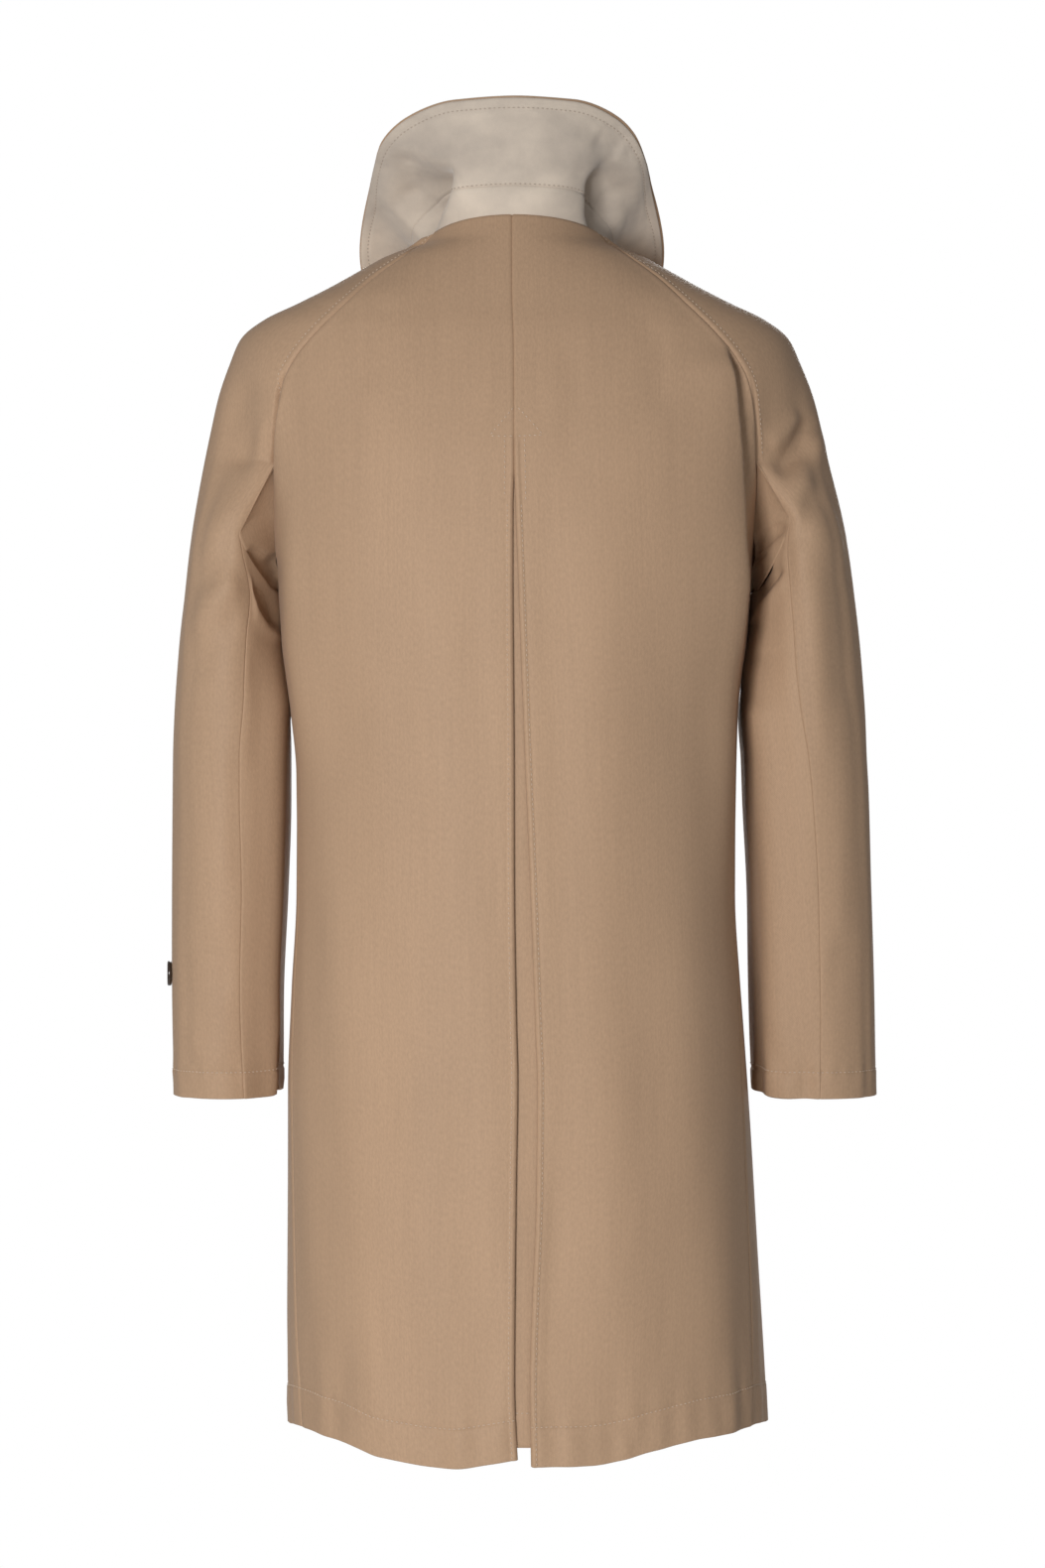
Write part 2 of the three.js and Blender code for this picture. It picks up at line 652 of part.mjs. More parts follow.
// Half of the gusset: a bridge from the body panel's edge to the sleeve's edge, arched upwards.
function gussetHalf(side, front) {
  const steps = GUSSET_STEPS + UNDER_STEPS;
  const underTop = underSleeveRow(side, GUSSET_CORNER);
  return samples(steps, (t) => {
    const step = Math.round(t * steps);
    const place = edgePlace(side, GUSSET_ROW + step, front);
    const body = bodyPoint(side, place.down, place.turn);
    const along = step - GUSSET_STEPS;
    const sleeve = step <= GUSSET_STEPS
      ? sleeveEdge(side, mix(RAGLAN_END, GUSSET_CORNER, step / GUSSET_STEPS), front)
      : underTop[front ? 2 * UNDER_STEPS - along : along];
    const chord = body.distanceTo(sleeve);
    const rise = GUSSET.arch * chord + GUSSET.lift * smooth(step, 0, 2);
    const start = Math.min(GUSSET.pull.body / chord, GUSSET.mostPull.body);
    const end = 1 - Math.min(GUSSET.pull.sleeve / chord, GUSSET.mostPull.sleeve);
    return samples(GUSSET_COLUMNS, (u) => {
      const point = body.clone().lerp(sleeve, mix(start, end, u));
      point.z += 4 * rise * u * (1 - u);
      return point;
    });
  });
}

function addGusset(side) {
  const rows = gussetHalf(side, false).concat(gussetHalf(side, true).reverse().slice(1));
  const last = rows.length - 1;
  const start = rows[0].map((point, j) => point.clone().lerp(rows[1][j], GUSSET.endShare));
  const end = rows[last].map((point, j) => point.clone().lerp(rows[last - 1][j], GUSSET.endShare));
  const grid = trimmed([start, ...rows.slice(1, last), end]);
  add(`gusset_${sideName(side)}`, wallOf(grid, GUSSET.wall, insideOf('gusset', side)), TAN);
}

// The neck seam from the middle of the back to the middle of the front.
function neckLine(side) {
  const back = backRow(side, 0);
  const sleeve = topSleeveRow(side, 0).reverse();
  const front = frontRow(side, 0, 4 * PANEL_COLUMNS).filter((point) => side * point.x > NECK_END);
  back[0].set(0, back[0].y, back[0].z);
  return [...back, ...sleeve.slice(1), ...front.slice(1)];
}

function collarPoint(side, run, part) {
  const width = side > 0 ? 1 : COLLAR.right(run);
  return new THREE.Vector3(
    side * width * COLLAR[`${part}X`](run),
    COLLAR[`${part}Y`](run),
    COLLAR[`${part}Z`](run),
  );
}

// The collar's columns: each runs from the neck seam over the stand's seam to the free edge.
function collarColumns(side) {
  const neck = evenly(neckLine(side), COLLAR_COLUMNS / 2 + 1);
  return neck.map((point, i) => {
    const run = 2 * i / COLLAR_COLUMNS;
    const foot = point.clone().setZ(point.z + COLLAR_FOOT_LIFT);
    const parts = ['seam', 'leaf', 'edge'].map((part) => collarPoint(side, run, part));
    return new THREE.CatmullRomCurve3([foot, ...parts], false, 'centripetal');
  });
}

function addCollar() {
  const left = collarColumns(1);
  const right = collarColumns(-1);
  const columns = [...left.reverse(), ...right.slice(1)];
  const outer = columns.map((curve) => samples(COLLAR_STEPS, (t) => curve.getPoint(t)));
  const layers = [0, SUEDE, SUEDE + COLLAR_GAP, SUEDE + COLLAR_GAP + UPPER_COLLAR];
  const grids = layers.map((depth) => movedOut(outer, -depth, insideOf('collar')));
  const band = (layer, from, to) => trimmed(grids[layer].map((column) => column.slice(from, to)));
  const stand = wallBetween(band(0, 0, STAND_STEPS + 1), band(1, 0, STAND_STEPS + 1));
  const leaf = wallBetween(band(0, STAND_STEPS), band(1, STAND_STEPS));
  add('collar_stand', stand, SUEDE_GREY);
  add('under_collar', leaf, SUEDE_GREY);
  add('upper_collar', wallBetween(band(2, 0), band(3, 0)), TAN);
}

function buttonGeometry() {
  const { radius, thickness, bevel, dish, dishDepth, sides } = BUTTON;
  const profile = [
    [0, 0],
    [radius - bevel, 0],
    [radius, bevel],
    [radius, thickness - bevel],
    [radius - bevel, thickness],
    [dish, thickness],
    [dish - bevel, thickness - dishDepth],
    [0, thickness - dishDepth],
  ];
  return new THREE.LatheGeometry(profile.map(([x, y]) => new THREE.Vector2(x, y)), sides);
}

function addButton(name, point, normal) {
  const mesh = add(name, buttonGeometry(), BUTTON_BROWN);
  mesh.quaternion.setFromUnitVectors(new THREE.Vector3(0, 1, 0), normal);
  mesh.position.copy(point).addScaledVector(normal, BUTTON.lift);
}

function addButtons() {
  for (let i = 0; i < FRONT_BUTTONS.count; i += 1) {
    const down = FRONT_BUTTONS.first + i * FRONT_BUTTONS.spacing;
    addButton(`front_button_${i + 1}`, bodyPoint(1, down, 180), bodyNormal(1, down, 180));
  }
  [1, -1].forEach((side) => {
    const turn = SLEEVE_BUTTONS.turn[sideName(side)];
    const point = ringPoint(side, SLEEVE_BUTTONS.down, turn);
    const along = ringPoint(side, SLEEVE_BUTTONS.down, turn + 1).sub(point);
    const normal = along.cross(new THREE.Vector3(0, 0, side)).normalize();
    addButton(`sleeve_button_${sideName(side)}`, point, normal);
  });
}

[1, -1].forEach((side) => {
  addBodyPanels(side);
  addSleeve(side);
  addGusset(side);
});
addUnderlay();
addCollar();
addButtons();

export default coat;
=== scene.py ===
"""A knee-length raincoat, filled out as worn, with its suede-backed collar turned up.

Sizes are millimetres until a mesh is made. The origin is the middle of the neck on the shoulder
line, +Z up. The coat's front faces -Y and the wearer's left is +X. "Down" is measured from the top
of the back neck seam, and "turn" goes round the body in degrees from the middle of the back (0)
over the side (90) to the middle of the front (180).
"""

import math

import bmesh
import bpy
import numpy as np
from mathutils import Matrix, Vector


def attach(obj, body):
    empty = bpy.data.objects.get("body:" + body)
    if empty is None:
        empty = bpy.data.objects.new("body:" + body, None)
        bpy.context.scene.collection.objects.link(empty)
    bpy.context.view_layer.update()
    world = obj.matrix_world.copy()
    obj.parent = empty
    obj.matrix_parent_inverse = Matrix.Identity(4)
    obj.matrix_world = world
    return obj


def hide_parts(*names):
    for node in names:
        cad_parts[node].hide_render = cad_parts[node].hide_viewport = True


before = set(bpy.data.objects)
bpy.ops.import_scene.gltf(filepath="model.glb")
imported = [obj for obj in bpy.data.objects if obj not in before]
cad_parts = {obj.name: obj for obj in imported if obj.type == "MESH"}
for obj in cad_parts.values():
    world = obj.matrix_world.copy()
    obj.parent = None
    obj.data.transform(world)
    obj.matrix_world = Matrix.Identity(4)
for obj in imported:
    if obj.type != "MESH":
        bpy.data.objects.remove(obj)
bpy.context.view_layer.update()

MM = 0.001

# The coat's driving sizes.
NECK_SEAM_HEIGHT = 22
CLOTH = 1.6
SUEDE = 1.4
UPPER_COLLAR = 1.2
LAYER_GAP = 0.8
COLLAR_GAP = 0.4
BACK_NECK_DROP = 9
FRONT_NECK_DOWN = 80
ARMHOLE_DOWN = 297
CUFF_DOWN = 698
CUFF_RISE = 4
FRONT_WRAP = 22
WRAP_BLEND = (27, 50)
COLLAR_FOOT = {"fall": 1.6, "inset": 1.1}
FRONT_SLEEVE_SEAM = 112
GUSSET_CORNER_DOWN = {"left": 250, "right": 238}
SIDE_SEAM_FOOT = 66
UNDER_SLEEVE_RISE = 3
NECK_MIDDLE = (0, 12, 0)
NECK_LINE_ENDS = {"back": 1.5, "front": 4}
UNDERLAY = {"top": 192, "bottom": 953, "left": 44, "right": 58}
GUSSET_CLOTH = 1.0
GUSSET_OVERLAP = 0.9
GUSSET_ARCH = 0.16

# The rows of a body panel's outer edge, as steps along the raglan seam, the gusset and the side seam,
# and the stations of a sleeve, which leaves the raglan seam at one and meets its ring at another.
RAGLAN_STEPS = 12
GUSSET_STEPS = 3
UNDER_STEPS = 4
SIDE_STEPS = 11
ARM_STEPS = 11
RAGLAN_END = 9
GUSSET_CORNER = 11
GUSSET_ROW = RAGLAN_STEPS
SIDE_ROW = RAGLAN_STEPS + GUSSET_STEPS + UNDER_STEPS
LAST_ROW = SIDE_ROW + SIDE_STEPS

# The stitching: how far each line lies from its edge, and the size of a stitch.
HEM_DEPTH = 30
CUFF_HEM = 21
UNDERLAY_HEM = 26
FRONT_STITCH = 7
VENT_STITCH = 4.8
RAGLAN_STITCH = 6.4
COLLAR_STITCH = 7.5
STAND_STITCH = 1.6
STAND_STITCH_ENDS = (-60, 52)
TRIANGLE_BASE = 180
TRIANGLE_STEP = 1.5
VENT_STITCH_TOP = 230
STITCH = {"pitch": 3.8, "length": 2.1, "radius": 0.42}

# The spacing of the cloth's grid, finer near every edge and round the hems' stitches.
BODY_GRID = 4.2
BODY_ROWS = 5.0
SLEEVE_GRID = 3.2
FINE_STEP = 0.9
HEM_REACH = 3.6
UNDERLAY_GRID = {"rows": 190, "columns": 36}
GUSSET_GRID = {"rows": 60, "columns": 24}
COLLAR_GRID = {"columns": 110, "stand_rows": 14, "leaf_rows": 34, "stand_share": 1 / 3}
NEAR_EDGE = np.concatenate([np.arange(0, 7, FINE_STEP), np.arange(7.6, 23, 1.7)])

# How many points a surface is first worked out at, before its grid is spaced.
EDGE_SAMPLES = 900
BODY_SAMPLES = 330
HALF_SLEEVE_SAMPLES = 130
UNDER_SLEEVE_SAMPLES = 120

# How far a doubled layer stands out and the collar's edge rolls over. Small gathers have a height and
# a reach from the stitches. Folds are ridges and troughs, as (height, place, half width).
DOUBLED_LAYER = 0.55
FRONT_LAYER = 0.5
EDGE_ROLL = 1.7
HEM_SLACK = (1.7, 26)
HEM_GATHERS = (0.7, 7)
VENT_GATHERS = (0.22, 7)
VENT_FOLD = ((0.9, 2.6, 2.6), (-1.0, 0, 1.0))
FRONT_GATHERS = (0.22, 8)
RAGLAN_GATHERS = (0.3, 8)
COLLAR_GATHERS = (0.2, 7)

# Hung cloth's slow unevenness: the size and the height of its waves, and the seed of each kind of piece.
BODY_WOBBLE = (95, 0.7)
TOP_SLEEVE_WOBBLE = (80, 0.6)
UNDER_SLEEVE_WOBBLE = (80, 0.5)
UNDERLAY_WOBBLE = (70, 0.25)
COLLAR_WOBBLE = (60, 0.5)
BODY_SEED = 11
SLEEVE_SEED = 31
UNDERLAY_SEED = 5
COLLAR_SEED = 91

# A point inside each kind of piece, which its outer face looks away from, for the wearer's left.
INSIDE = {
    "body": (0, 0, -300),
    "top_sleeve": (215, 0, -150),
    "under_sleeve": (232, 0, -450),
    "gusset": (205, 0, -100),
    "collar": (0, 0, 60),
}


def mix(a, b, t):
    return a + (b - a) * t


def smooth(value, start, end):
    """0 before start, 1 after end, and 3t^2 - 2t^3 between them."""
    t = np.clip((value - start) / (end - start), 0, 1)
    return t * t * (3 - 2 * t)


def bump(value, width):
    """A soft ridge of height 1: exp(-(value / width)^2)."""
    return np.exp(-((value / width) ** 2))


def ridges(value, folds):
    """The sum of ridges, and of troughs below 0, at their places along the value."""
    return sum(height * bump(value - place, width) for height, place, width in folds)


def curve_through(keys, values):
    """A cubic through the values at the keys with no overshoot, straight beyond its ends."""
    keys = np.array(keys, float)
    values = np.array(values, float)
    step = np.diff(keys)
    rise = np.diff(values) / step
    slope = np.zeros_like(values)
    slope[0], slope[-1] = rise[0], rise[-1]
    same = rise[:-1] * rise[1:] > 0
    before, after = step[:-1], step[1:]
    with np.errstate(divide="ignore", invalid="ignore"):
        weighted = (2 * after + before) / rise[:-1] + (after + 2 * before) / rise[1:]
        mean = 3 * (before + after) / weighted
    slope[1:-1] = np.where(same, mean, 0)

    def at(key):
        key = np.asarray(key, float)
        i = np.clip(np.searchsorted(keys, key, side="left") - 1, 0, len(step) - 1)
        t = np.clip((key - keys[i]) / step[i], 0, 1)
        bow = t * (1 - t)
        inner = mix(values[i], values[i + 1], t * t * (3 - 2 * t))
        inner = inner + step[i] * bow * ((1 - t) * slope[i] - t * slope[i + 1])
        low = slope[0] * np.minimum(key - keys[0], 0)
        high = slope[-1] * np.maximum(key - keys[-1], 0)
        return inner + low + high

    return at


def table(names, rows):
    """One curve for each named column, read at a value of the first column."""
    columns = list(zip(*rows))
    return {name: curve_through(columns[0], column) for name, column in zip(names, columns)}


# The body's sections, the back vent's edges, the hem's drop and the side seam.
BODY = table(("down", "left", "right", "back", "front", "middle", "square"), [
    (-2, 66, 66, 79, -16, 12, 2.0),
    (15, 74, 74, 88, -22, 12, 2.0),
    (30, 116, 114, 95, -28, 11, 2.0),
    (50, 160, 159, 104, -38, 10, 2.05),
    (72, 206, 204, 113, -49, 9, 2.1),
    (91, 222, 221, 121, -64, 8, 2.15),
    (113, 226, 226, 128, -83, 7, 2.2),
    (150, 214, 214, 138, -108, 4, 2.35),
    (200, 198, 198, 147, -130, 0, 2.6),
    (260, 190, 190, 151, -142, 0, 2.7),
    (300, 189.2, 187.6, 151, -144, 0, 2.65),
    (330, 188, 185.2, 151, -146, 0, 2.6),
    (360, 184.4, 180.9, 151, -146, 0, 2.55),
    (390, 180.4, 178, 150, -146, 0, 2.5),
    (440, 176, 176.6, 150, -146, 0, 2.5),
    (535, 176.6, 176, 151, -147, 0, 2.45),
    (615, 181, 181, 153, -150, 0, 2.4),
    (695, 184, 186, 156, -154, 0, 2.35),
    (775, 184, 191, 159, -158, 0, 2.3),
    (855, 184, 196, 162, -162, 0, 2.25),
    (969, 182, 202, 166, -168, 0, 2.2),
])
VENT = table(("down", "left", "right"), [
    (0, 3.2, 3.2),
    (60, 3.0, 3.0),
    (110, 1.6, 1.6),
    (200, 1.2, 1.2),
    (232, 2.2, 0),
    (303, 2.3, -2.6),
    (409, 1.6, -6.6),
    (522, 1.3, -11.5),
    (627, -0.3, -15.3),
    (670, -1.3, -16.8),
    (743, -0.2, -16.2),
    (895, 1.2, -11.2),
    (970, -2.6, -12.4),
])
HEM = table(("turn", "left", "right"), [
    (0, 962, 967),
    (14, 969, 967),
    (30, 964, 958),
    (45, 956, 952),
    (66, 952, 951),
    (90, 959, 958),
    (135, 963, 962),
    (180, 961, 961),
])
SIDE_SEAM = table(("down", "turn"), [
    (ARMHOLE_DOWN, 90),
    (380, 84),
    (520, 77),
    (700, 73),
    (880, 69),
    (970, 65),
])
RAGLAN = table(
    ("station", "back down", "back across", "front down", "front across",
     "ridge down", "ridge left", "ridge right", "ridge middle"), [
        (0, 9, 66, 42, 58, 13, 78, 75, 14),
        (1, 29, 87, 58, 80, 32, 110, 107, 12),
        (2, 49, 112, 77, 104, 52, 143, 140, 11),
        (3, 71, 134, 97, 126, 68, 175, 172, 10),
        (4, 90, 153, 116, 145, 79, 203, 200.2, 8),
        (5, 112, 172, 135, 161, 91, 220, 217.8, 6),
        (6, 132, 183, 152, 173, 112, 230, 228.5, 4),
        (7, 150, 187, 167, 180, 136, 239, 238.2, 2),
        (8, 172, 189, 183, 185, 164, 246, 245.8, 1),
        (9, 194, 189.5, 200, 187, 192, 252, 252, 0),
        (10, 194, 189.5, 200, 187, 221, 257, 259, 0),
        (11, 194, 189.5, 200, 187, 250, 261.5, 265.5, 0),
    ])
ARM = table(
    ("down", "outer left", "inner left", "outer right", "inner right",
     "middle", "depth", "seam left", "seam right"), [
        (232, 258, 196, 260, 196, 0, 76, 104, 112),
        (262, 263, 194, 267, 194, -1, 75, 112, 117),
        (297, 267, 192.2, 272, 191, -2, 73, 122, 112),
        (330, 271, 189.6, 276, 187, -3, 71, 116, 106),
        (360, 273.5, 186, 278.7, 182.6, -3, 69, 111, 101),
        (390, 275.5, 182.6, 281, 180.4, -4, 67, 107, 96),
        (426, 276.8, 182.8, 283, 183.6, -6, 65, 104, 92),
        (455, 277, 183, 285, 184.6, -7, 63, 104, 90),
        (535, 277.5, 186, 288, 189, -11, 59, 108, 88),
        (615, 278, 190, 290.5, 191, -16, 55, 109, 88),
        (698, 277, 191, 292, 193, -20, 52, 113, 90),
    ])
COLLAR = table(
    ("run", "seam x", "seam y", "seam z", "leaf x", "leaf y", "leaf z", "edge x", "edge y", "edge z",
     "right"), [
        (-0.17, -42, 74, 43, -44, 82, 79, -48, 82, 110, 1),
        (0, 0, 84, 44, 0, 90, 80, 0, 93, 111, 1),
        (0.17, 42, 74, 43, 44, 82, 79, 48, 82, 110, 0.945),
        (0.32, 68, 48, 38, 80, 58, 70, 86, 65, 99, 0.925),
        (0.46, 80, 22, 28, 98, 34, 54, 109, 45, 78, 0.912),
        (0.6, 84, -4, 16, 106, -2, 38, 119, -2, 49, 0.925),
        (0.74, 75, -28, 0, 106, -36, 18, 127, -48, 8, 0.94),
        (0.87, 50, -50, -20, 84, -66, -14, 117, -74, -34, 0.94),
        (1, 12, -65, -42, 48, -82, -46, 88, -80, -74, 0.94),
    ])

# Soft folds of the body: side, turn at the top and bottom, down at the top and bottom, how far the
# ridge stands out (or, below 0, the trough goes in) and its half width in degrees of turn.
BODY_FOLDS = [
    ("right", 62, 66, 190, 470, 5, 9),
    ("left", 64, 70, 210, 430, 4, 9),
    ("left", 128, 122, 230, 620, 4, 10),
    ("right", 126, 130, 230, 560, 4, 10),
    ("left", 40, 34, 640, 1000, 3.5, 11),
    ("right", 44, 52, 620, 1000, 4, 12),
    ("left", 148, 154, 600, 1000, 3.5, 11),
    ("right", 150, 146, 640, 1000, 3.5, 11),
]


def body_fold(side, down, turn):
    """The sum of the soft folds: height times exp(-(turn off the ridge / width)^2), faded at its ends."""
    out = 0
    for name, top_turn, end_turn, top, end, height, width in BODY_FOLDS:
        if name != side:
            continue
        along = (down - top) / (end - top)
        away = turn - mix(top_turn, end_turn, along)
        out = out + height * smooth(along, 0, 0.35) * (1 - smooth(along, 0.75, 1.25)) * bump(away, width)
    return out


def sign_of(side):
    return 1 if side == "left" else -1


def inside_of(kind, side="left"):
    return np.array(INSIDE[kind]) * (sign_of(side), 1, 1)


def placed(side, across, depth, down):
    """Points from how far out to their side, how deep and how far down they lie."""
    return np.stack(np.broadcast_arrays(sign_of(side) * across, depth, NECK_SEAM_HEIGHT - down), axis=-1)


def body_point(side, down, turn, inset=0):
    """The body's surface: a section with |x/half|^n + |y/reach|^n = 1, n its squareness."""
    angle = np.radians(turn)
    power = 2 / BODY["square"](down)
    sine, cosine = np.sin(angle), np.cos(angle)
    middle = BODY["middle"](down)
    reach = np.where(cosine > 0, BODY["back"](down) - middle, middle - BODY["front"](down))
    out = body_fold(side, down, turn) - inset
    across = (BODY[side](down) + out) * np.sign(sine) * np.abs(sine) ** power
    depth = (reach + out) * np.sign(cosine) * np.abs(cosine) ** power
    return placed(side, across, middle + depth, down)


def turn_at(side, down, across, front=False):
    """The turn at which the body is so far across: asin((across / half)^(n / 2))."""
    share = across / BODY[side](down)
    turn = np.degrees(np.arcsin(np.sign(share) * np.abs(share) ** (BODY["square"](down) / 2)))
    return 180 - turn if front else turn


def body_normal(side, down, turn):
    """The cross product of the surface's two slopes, found over half a degree and half a millimetre."""
    along = body_point(side, down, turn + 0.5) - body_point(side, down, turn - 0.5)
    fall = body_point(side, down + 0.5, turn) - body_point(side, down - 0.5, turn)
    return unit(np.cross(along, fall) * sign_of(side))


def unit(vectors):
    return vectors / np.maximum(np.linalg.norm(vectors, axis=-1, keepdims=True), 1e-9)


def raglan_place(side, station, front):
    """Down and turn of a place on the raglan seam, at a station of its table."""
    name = "front" if front else "back"
    down = RAGLAN[name + " down"](station)
    return down, turn_at(side, down, RAGLAN[name + " across"](station), front)


def edge_place(side, row, front):
    """Down and turn of a panel's outer edge: the raglan seam, the gusset's edge, then the side seam."""
    row = np.asarray(row, float)
    down, turn = raglan_place(side, RAGLAN_END * np.minimum(row, GUSSET_ROW) / RAGLAN_STEPS, front)
    t = np.clip((row - GUSSET_ROW) / (SIDE_ROW - GUSSET_ROW), 0, 1)
    down, turn = mix(down, ARMHOLE_DOWN, t), mix(turn, 90, t ** 0.85)
    t = np.clip((row - SIDE_ROW) / SIDE_STEPS, 0, 1)
    side_turn = SIDE_SEAM["turn"](mix(ARMHOLE_DOWN, HEM[side](SIDE_SEAM_FOOT), t))
    side_down = mix(ARMHOLE_DOWN, HEM[side](side_turn), t)
    below = row > SIDE_ROW
    return np.where(below, side_down, down), np.where(below, side_turn, turn)


def hem_aware_down(side, row, turn, upper):
    """The given down above the side seam's top, and below it an even share of the way to the hem."""
    t = np.clip((row - SIDE_ROW) / SIDE_STEPS, 0, 1)
    lower = mix(ARMHOLE_DOWN, HEM[side](np.clip(turn, 0, 180)), t)
    return np.where(row <= SIDE_ROW, upper, lower)


def back_surface(side, row, t):
    """A back panel: t runs from the middle of the back (0) to the panel's outer edge (1)."""
    edge_down, edge_turn = edge_place(side, row, False)
    middle_down = edge_down - BACK_NECK_DROP * (1 - np.minimum(row / RAGLAN_STEPS, 1))
    middle_turn = turn_at(side, middle_down, sign_of(side) * VENT[side](middle_down))
    turn = mix(middle_turn, edge_turn, t)
    down = hem_aware_down(side, row, turn, mix(middle_down, edge_down, t * t))
    return body_point(side, down, turn), down, turn


def front_surface(side, row, t):
    """A front panel: t runs from its outer edge (0) past the middle of the front (1)."""
    edge_down, edge_turn = edge_place(side, row, True)
    lead = (FRONT_NECK_DOWN - RAGLAN["front down"](0)) * (1 - np.minimum(row / RAGLAN_STEPS, 1))
    middle_down = edge_down + lead
    end_turn = turn_at(side, middle_down, -FRONT_WRAP, True)
    turn = mix(edge_turn, end_turn, t)
    reach = np.minimum((turn - edge_turn) / (180 - edge_turn), 1)
    upper = mix(edge_down, middle_down, 1 - (1 - reach) ** 2)
    down = hem_aware_down(side, row, turn, upper)
    inset = 0
    if side == "right":
        across = -body_point(side, down, turn)[..., 0]
        inset = (1 - smooth(across, *WRAP_BLEND)) * (CLOTH + LAYER_GAP)
    return body_point(side, down, turn, inset), down, turn


def ring_point(side, down, turn):
    """The sleeve's ring: an ellipse, with the turn measured from its outer edge towards the back."""
    outer, inner = ARM["outer " + side](down), ARM["inner " + side](down)
    angle = np.radians(turn)
    across = (outer + inner) / 2 + (outer - inner) / 2 * np.cos(angle)
    depth = ARM["middle"](down) + ARM["depth"](down) * np.sin(angle)
    return placed(side, across, depth, down)


def ring_tangent(side, down, turn, span):
    """The ellipse's tangent, as long as a cubic arc of that span needs: 4 tan(span / 4)."""
    length = 4 * np.tan(np.radians(np.abs(span)) / 4) / math.radians(2) * np.sign(span)
    step = ring_point(side, down, turn + 1) - ring_point(side, down, turn - 1)
    return step * np.asarray(length)[..., None]


def arm_down(station, start, end=CUFF_DOWN):
    """Down along the sleeve: the start as far as the gusset's corner, then evenly on to the end."""
    return mix(start, end, np.maximum(station - GUSSET_CORNER, 0) / ARM_STEPS)


def seam_turn(side, down, front):
    """The turn on the sleeve's ring of its front or its back seam."""
    return np.full(np.shape(down), -float(FRONT_SLEEVE_SEAM)) if front else ARM["seam " + side](down)


def sleeve_edge(side, station, front):
    """The top sleeve's edge: on the raglan seam, straight to the gusset's corner, then on the ring."""
    down, turn = raglan_place(side, np.minimum(station, RAGLAN_END), front)
    edge = body_point(side, down, turn)
    corner = np.asarray(float(GUSSET_CORNER_DOWN[side]))
    t = np.clip((station - RAGLAN_END) / (GUSSET_CORNER - RAGLAN_END), 0, 1)[..., None]
    edge = mix(edge, ring_point(side, corner, seam_turn(side, corner, front)), t)
    low = arm_down(station, corner)
    ring = ring_point(side, low, seam_turn(side, low, front))
    return np.where((station >= GUSSET_CORNER)[..., None], ring, edge)


def sleeve_ridge(side, station):
    """The top sleeve's highest line: its own table over the shoulder, then the ring's outer edge."""
    upper = np.minimum(station, GUSSET_CORNER)
    across, middle = RAGLAN["ridge " + side](upper), RAGLAN["ridge middle"](upper)
    ridge = placed(side, across, middle, RAGLAN["ridge down"](upper))
    low = ring_point(side, arm_down(station, RAGLAN["ridge down"](GUSSET_CORNER)), 0.0)
    return np.where((station > GUSSET_CORNER)[..., None], low, ridge)


def arc_point(start, leave, end, arrive, t):
    """A cubic arc between two points with the given tangents."""
    bow = t * (1 - t)
    return mix(start, end, t * t * (3 - 2 * t)) + leave * bow * (1 - t) - arrive * bow * t


def sleeve_arc(side, station, front, t):
    """Half of the top sleeve: an arc from the ridge that meets the body panel in its own plane."""
    ridge = sleeve_ridge(side, station)
    edge = sleeve_edge(side, station, front)
    along = unit(edge - sleeve_edge(side, station, not front))
    normal = body_normal(side, *raglan_place(side, np.minimum(station, RAGLAN_END), front))
    arrive = edge - ridge
    arrive = unit(arrive - normal * np.sum(arrive * normal, axis=-1, keepdims=True))
    bend = np.arccos(np.clip(np.sum(along * arrive, axis=-1, keepdims=True), -1, 1)) / 4
    length = np.linalg.norm(edge - ridge, axis=-1, keepdims=True) / np.cos(bend) ** 2
    down = arm_down(station, GUSSET_CORNER_DOWN[side])
    seam = seam_turn(side, down, front)
    ring = smooth(station, RAGLAN_END - 2, GUSSET_CORNER)[..., None]
    along = mix(along * length, ring_tangent(side, down, 0.0, seam), ring)
    arrive = mix(arrive * length, ring_tangent(side, down, seam, seam), ring)
    return arc_point(ridge[:, None], along[:, None], edge[:, None], arrive[:, None], t[None, :, None])


def top_sleeve_surface(side, station, t):
    """The top sleeve: t runs from its front edge (-1) over the ridge (0) to its back edge (1)."""
    front = sleeve_arc(side, station, True, -t[t < 0])
    back = sleeve_arc(side, station, False, t[t >= 0])
    return np.concatenate([front, back], axis=1)


def under_sleeve_surface(side, station, t):
    """The under sleeve: t runs from its back edge (0) round the inner side to its front edge (1)."""
    station, t = station[:, None], t[None, :]
    edge_down = arm_down(station, GUSSET_CORNER_DOWN[side])
    inner_down = arm_down(station, ARMHOLE_DOWN - UNDER_SLEEVE_RISE, CUFF_DOWN - CUFF_RISE)
    back_turn = ARM["seam " + side](edge_down)
    turn = mix(back_turn, 180, np.minimum(2 * t, 1)) + (180 - FRONT_SLEEVE_SEAM) * np.maximum(2 * t - 1, 0)
    late = 0.8 + 3.2 * smooth(station, GUSSET_CORNER + 7, GUSSET_CORNER + ARM_STEPS)
    down = mix(edge_down, inner_down, np.maximum(np.sin(math.pi * t), 0) ** late)
    return ring_point(side, down, turn)


# Grids of points.

def slopes(points):
    """The derivative along the first axis, true to the second order at the ends too."""
    result = np.empty_like(points)
    result[1:-1] = points[2:] - points[:-2]
    result[0] = -3 * points[0] + 4 * points[1] - points[2]
    result[-1] = 3 * points[-1] - 4 * points[-2] + points[-3]
    return result


def turned(points):
    return np.swapaxes(points, 0, 1)


def normals_of(points, inside):
    """The unit normals of a grid, facing away from the point inside."""
    normals = unit(np.cross(turned(slopes(turned(points))), slopes(points)))
    facing = np.sum((points - inside) * normals)
    return normals if facing > 0 else -normals


